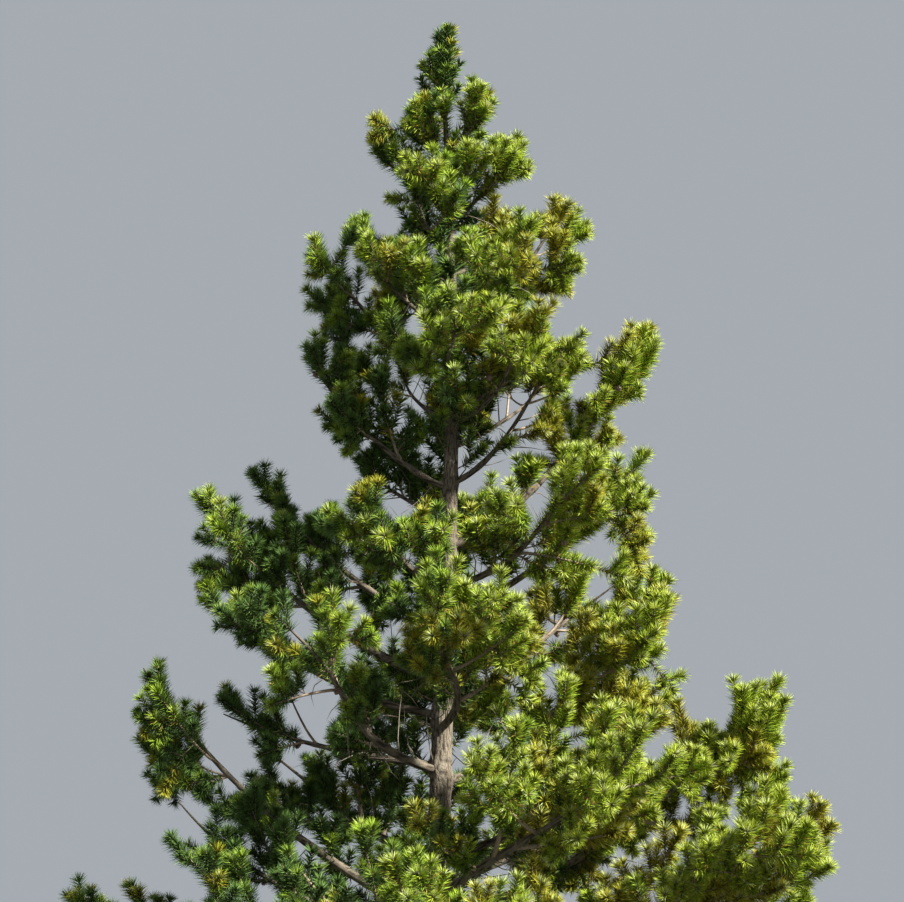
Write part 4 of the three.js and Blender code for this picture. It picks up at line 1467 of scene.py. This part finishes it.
class PINE_OT_twigs(bpy.types.Operator):
    """Make the stems of the sprays, the twigs inside the shoots and the bare twigs of the inner crown"""

    bl_idname = "pine.twigs"
    bl_label = "Twigs"

    def execute(self, context):
        bark = context.scene.pine_bark
        green = small_finish("twig_bark", bark.twig_colour, lighter(bark.twig_colour, 0.25), 90.0)
        grey = small_finish("dead_twig_bark", DEAD_TWIG, DEAD_TWIG_LIGHT, 70.0)
        shoot_twigs = shoot_tubes()  # this grows the shoots, and with them each limb's branchlets
        sprays = [spray for limb in grown_limbs() for spray in limb.kept]
        finer = [branchlet for limb in grown_limbs() for branchlet in limb.branchlets]
        points, faces = joined_meshes([stem_tubes(sprays, 9, 5), stem_tubes(finer, 5, 4), shoot_twigs])
        settle(mesh_from("twigs", points, faces, smooth=True), [green], "bark")
        points, faces = dead_twig_tubes()
        settle(mesh_from("bare_twigs", points, faces, smooth=True), [grey], "bark")
        return {"FINISHED"}


class PINE_OT_needles(bpy.types.Operator):
    """Grow the needles of every shoot, in tiers from the top down"""

    bl_idname = "pine.needles"
    bl_label = "Needles"

    def execute(self, context):
        growth = context.scene.pine_growth
        limbs, shoots = grown_limbs(), grown_shoots()
        order = sorted(range(len(limbs)), key=lambda index: -limbs[index].at(0)[2])
        sizes = np.cumsum([shoots[index]["needles"].sum() for index in order])
        tiers = np.minimum((sizes - 1) * len(TIERS) // sizes[-1], len(TIERS) - 1).astype(int)
        for tier, name in enumerate(TIERS):
            held = [index for index, of_tier in zip(order, tiers) if of_tier == tier]
            rows = joined_rows([shoots[index] for index in held])
            dice = np.random.default_rng(NEEDLE_SEED + tier)
            piece = mesh_from(f"needles_{name}", *needle_mesh(rows, growth, dice))
            settle(piece, needle_finishes(), "needles", *[f"mass_{limbs[index].name}" for index in held])
        return {"FINISHED"}


class PINE_OT_buds(bpy.types.Operator):
    """Set a winter bud on the end of every shoot"""

    bl_idname = "pine.buds"
    bl_label = "Buds"

    def execute(self, context):
        tone = context.scene.pine_tones.bud
        finish = small_finish("bud_scales", tone, lighter(tone, 0.3), 300.0)
        settle(mesh_from("buds", *bud_mesh()), [finish], "needles")
        return {"FINISHED"}


class PINE_OT_cones(bpy.types.Operator):
    """Hang open cones under the long limbs and at the feet of some shoots"""

    bl_idname = "pine.cones"
    bl_label = "Cones"

    def execute(self, context):
        tone = context.scene.pine_tones.cone
        finish = small_finish("cone_scales", tone, lighter(tone, 0.16), 160.0)
        settle(mesh_from("cones", *cone_mesh(context.scene.pine_growth)), [finish], "bark")
        return {"FINISHED"}


class PINE_OT_stage(bpy.types.Operator):
    """Set the camera, the soft lights and the pale floor"""

    bl_idname = "pine.stage"
    bl_label = "Camera, lights and floor"

    def execute(self, context):
        scene, stage = context.scene, context.scene.pine_stage
        bpy.ops.object.select_all(action="DESELECT")
        eye = (stage.camera_side, -stage.camera_distance, stage.camera_height)
        bpy.ops.object.camera_add(location=eye, rotation=(math.pi / 2 + stage.camera_pitch, 0, 0))
        scene.camera = context.active_object
        scene.camera.data.lens = stage.lens
        scene.camera.data.clip_end = CLIP_END
        bpy.ops.object.light_add(type="SUN", rotation=SUN_TURN)
        key = context.active_object.data
        key.energy, key.angle, key.color = stage.key_strength, SUN_BREADTH, SUN_COLOUR
        bpy.ops.mesh.primitive_plane_add(size=FLOOR_SIZE)
        floor = context.active_object
        floor.name = "floor"
        floor.data.materials.append(grained_finish(
            "pale_floor", FLOOR_TONE, FLOOR_LIGHT, shade=FLOOR_TONE, amount=1.0, scale=1.5,
            bump=(0.05, 0.001), gloss=0.05))
        world = bpy.data.worlds.new("soft_light")
        world.use_nodes = True
        background = next(node for node in world.node_tree.nodes if node.type == "BACKGROUND")
        background.inputs["Color"].default_value = FILL_COLOUR
        background.inputs["Strength"].default_value = stage.fill_strength
        scene.world = world
        scene.view_settings.view_transform = "Standard"
        return {"FINISHED"}


class PINE_PT_panel(bpy.types.Panel):
    """The tree's pieces in the sidebar"""

    bl_idname = "PINE_PT_panel"
    bl_label = "Pine tree"
    bl_space_type = "VIEW_3D"
    bl_region_type = "UI"
    bl_category = "Pine tree"

    def draw(self, context):
        layout = self.layout
        for step in STEPS:
            layout.operator(step.bl_idname)
        for name in SETTINGS:
            box = layout.box()
            settings = getattr(context.scene, name)
            for setting in settings.bl_rna.properties.keys():
                if setting not in ("rna_type", "name"):
                    box.prop(settings, setting)


STEPS = [PINE_OT_trunk, PINE_OT_limbs, PINE_OT_twigs, PINE_OT_needles, PINE_OT_buds, PINE_OT_cones,
         PINE_OT_stage]
SETTINGS = {"pine_growth": PineGrowth, "pine_bark": PineBark, "pine_tones": PineTones,
            "pine_stage": PineStage}


def register():
    for kind in [*SETTINGS.values(), *STEPS, PINE_PT_panel]:
        bpy.utils.register_class(kind)
    for name, kind in SETTINGS.items():
        setattr(bpy.types.Scene, name, PointerProperty(type=kind))


def unregister():
    for name in SETTINGS:
        delattr(bpy.types.Scene, name)
    for kind in [PINE_PT_panel, *STEPS, *SETTINGS.values()]:
        bpy.utils.unregister_class(kind)


def main():
    register()
    for name in ("trunk", "limbs", "twigs", "needles", "buds", "cones", "stage"):
        getattr(bpy.ops.pine, name)()


if __name__ == "__main__":
    main()
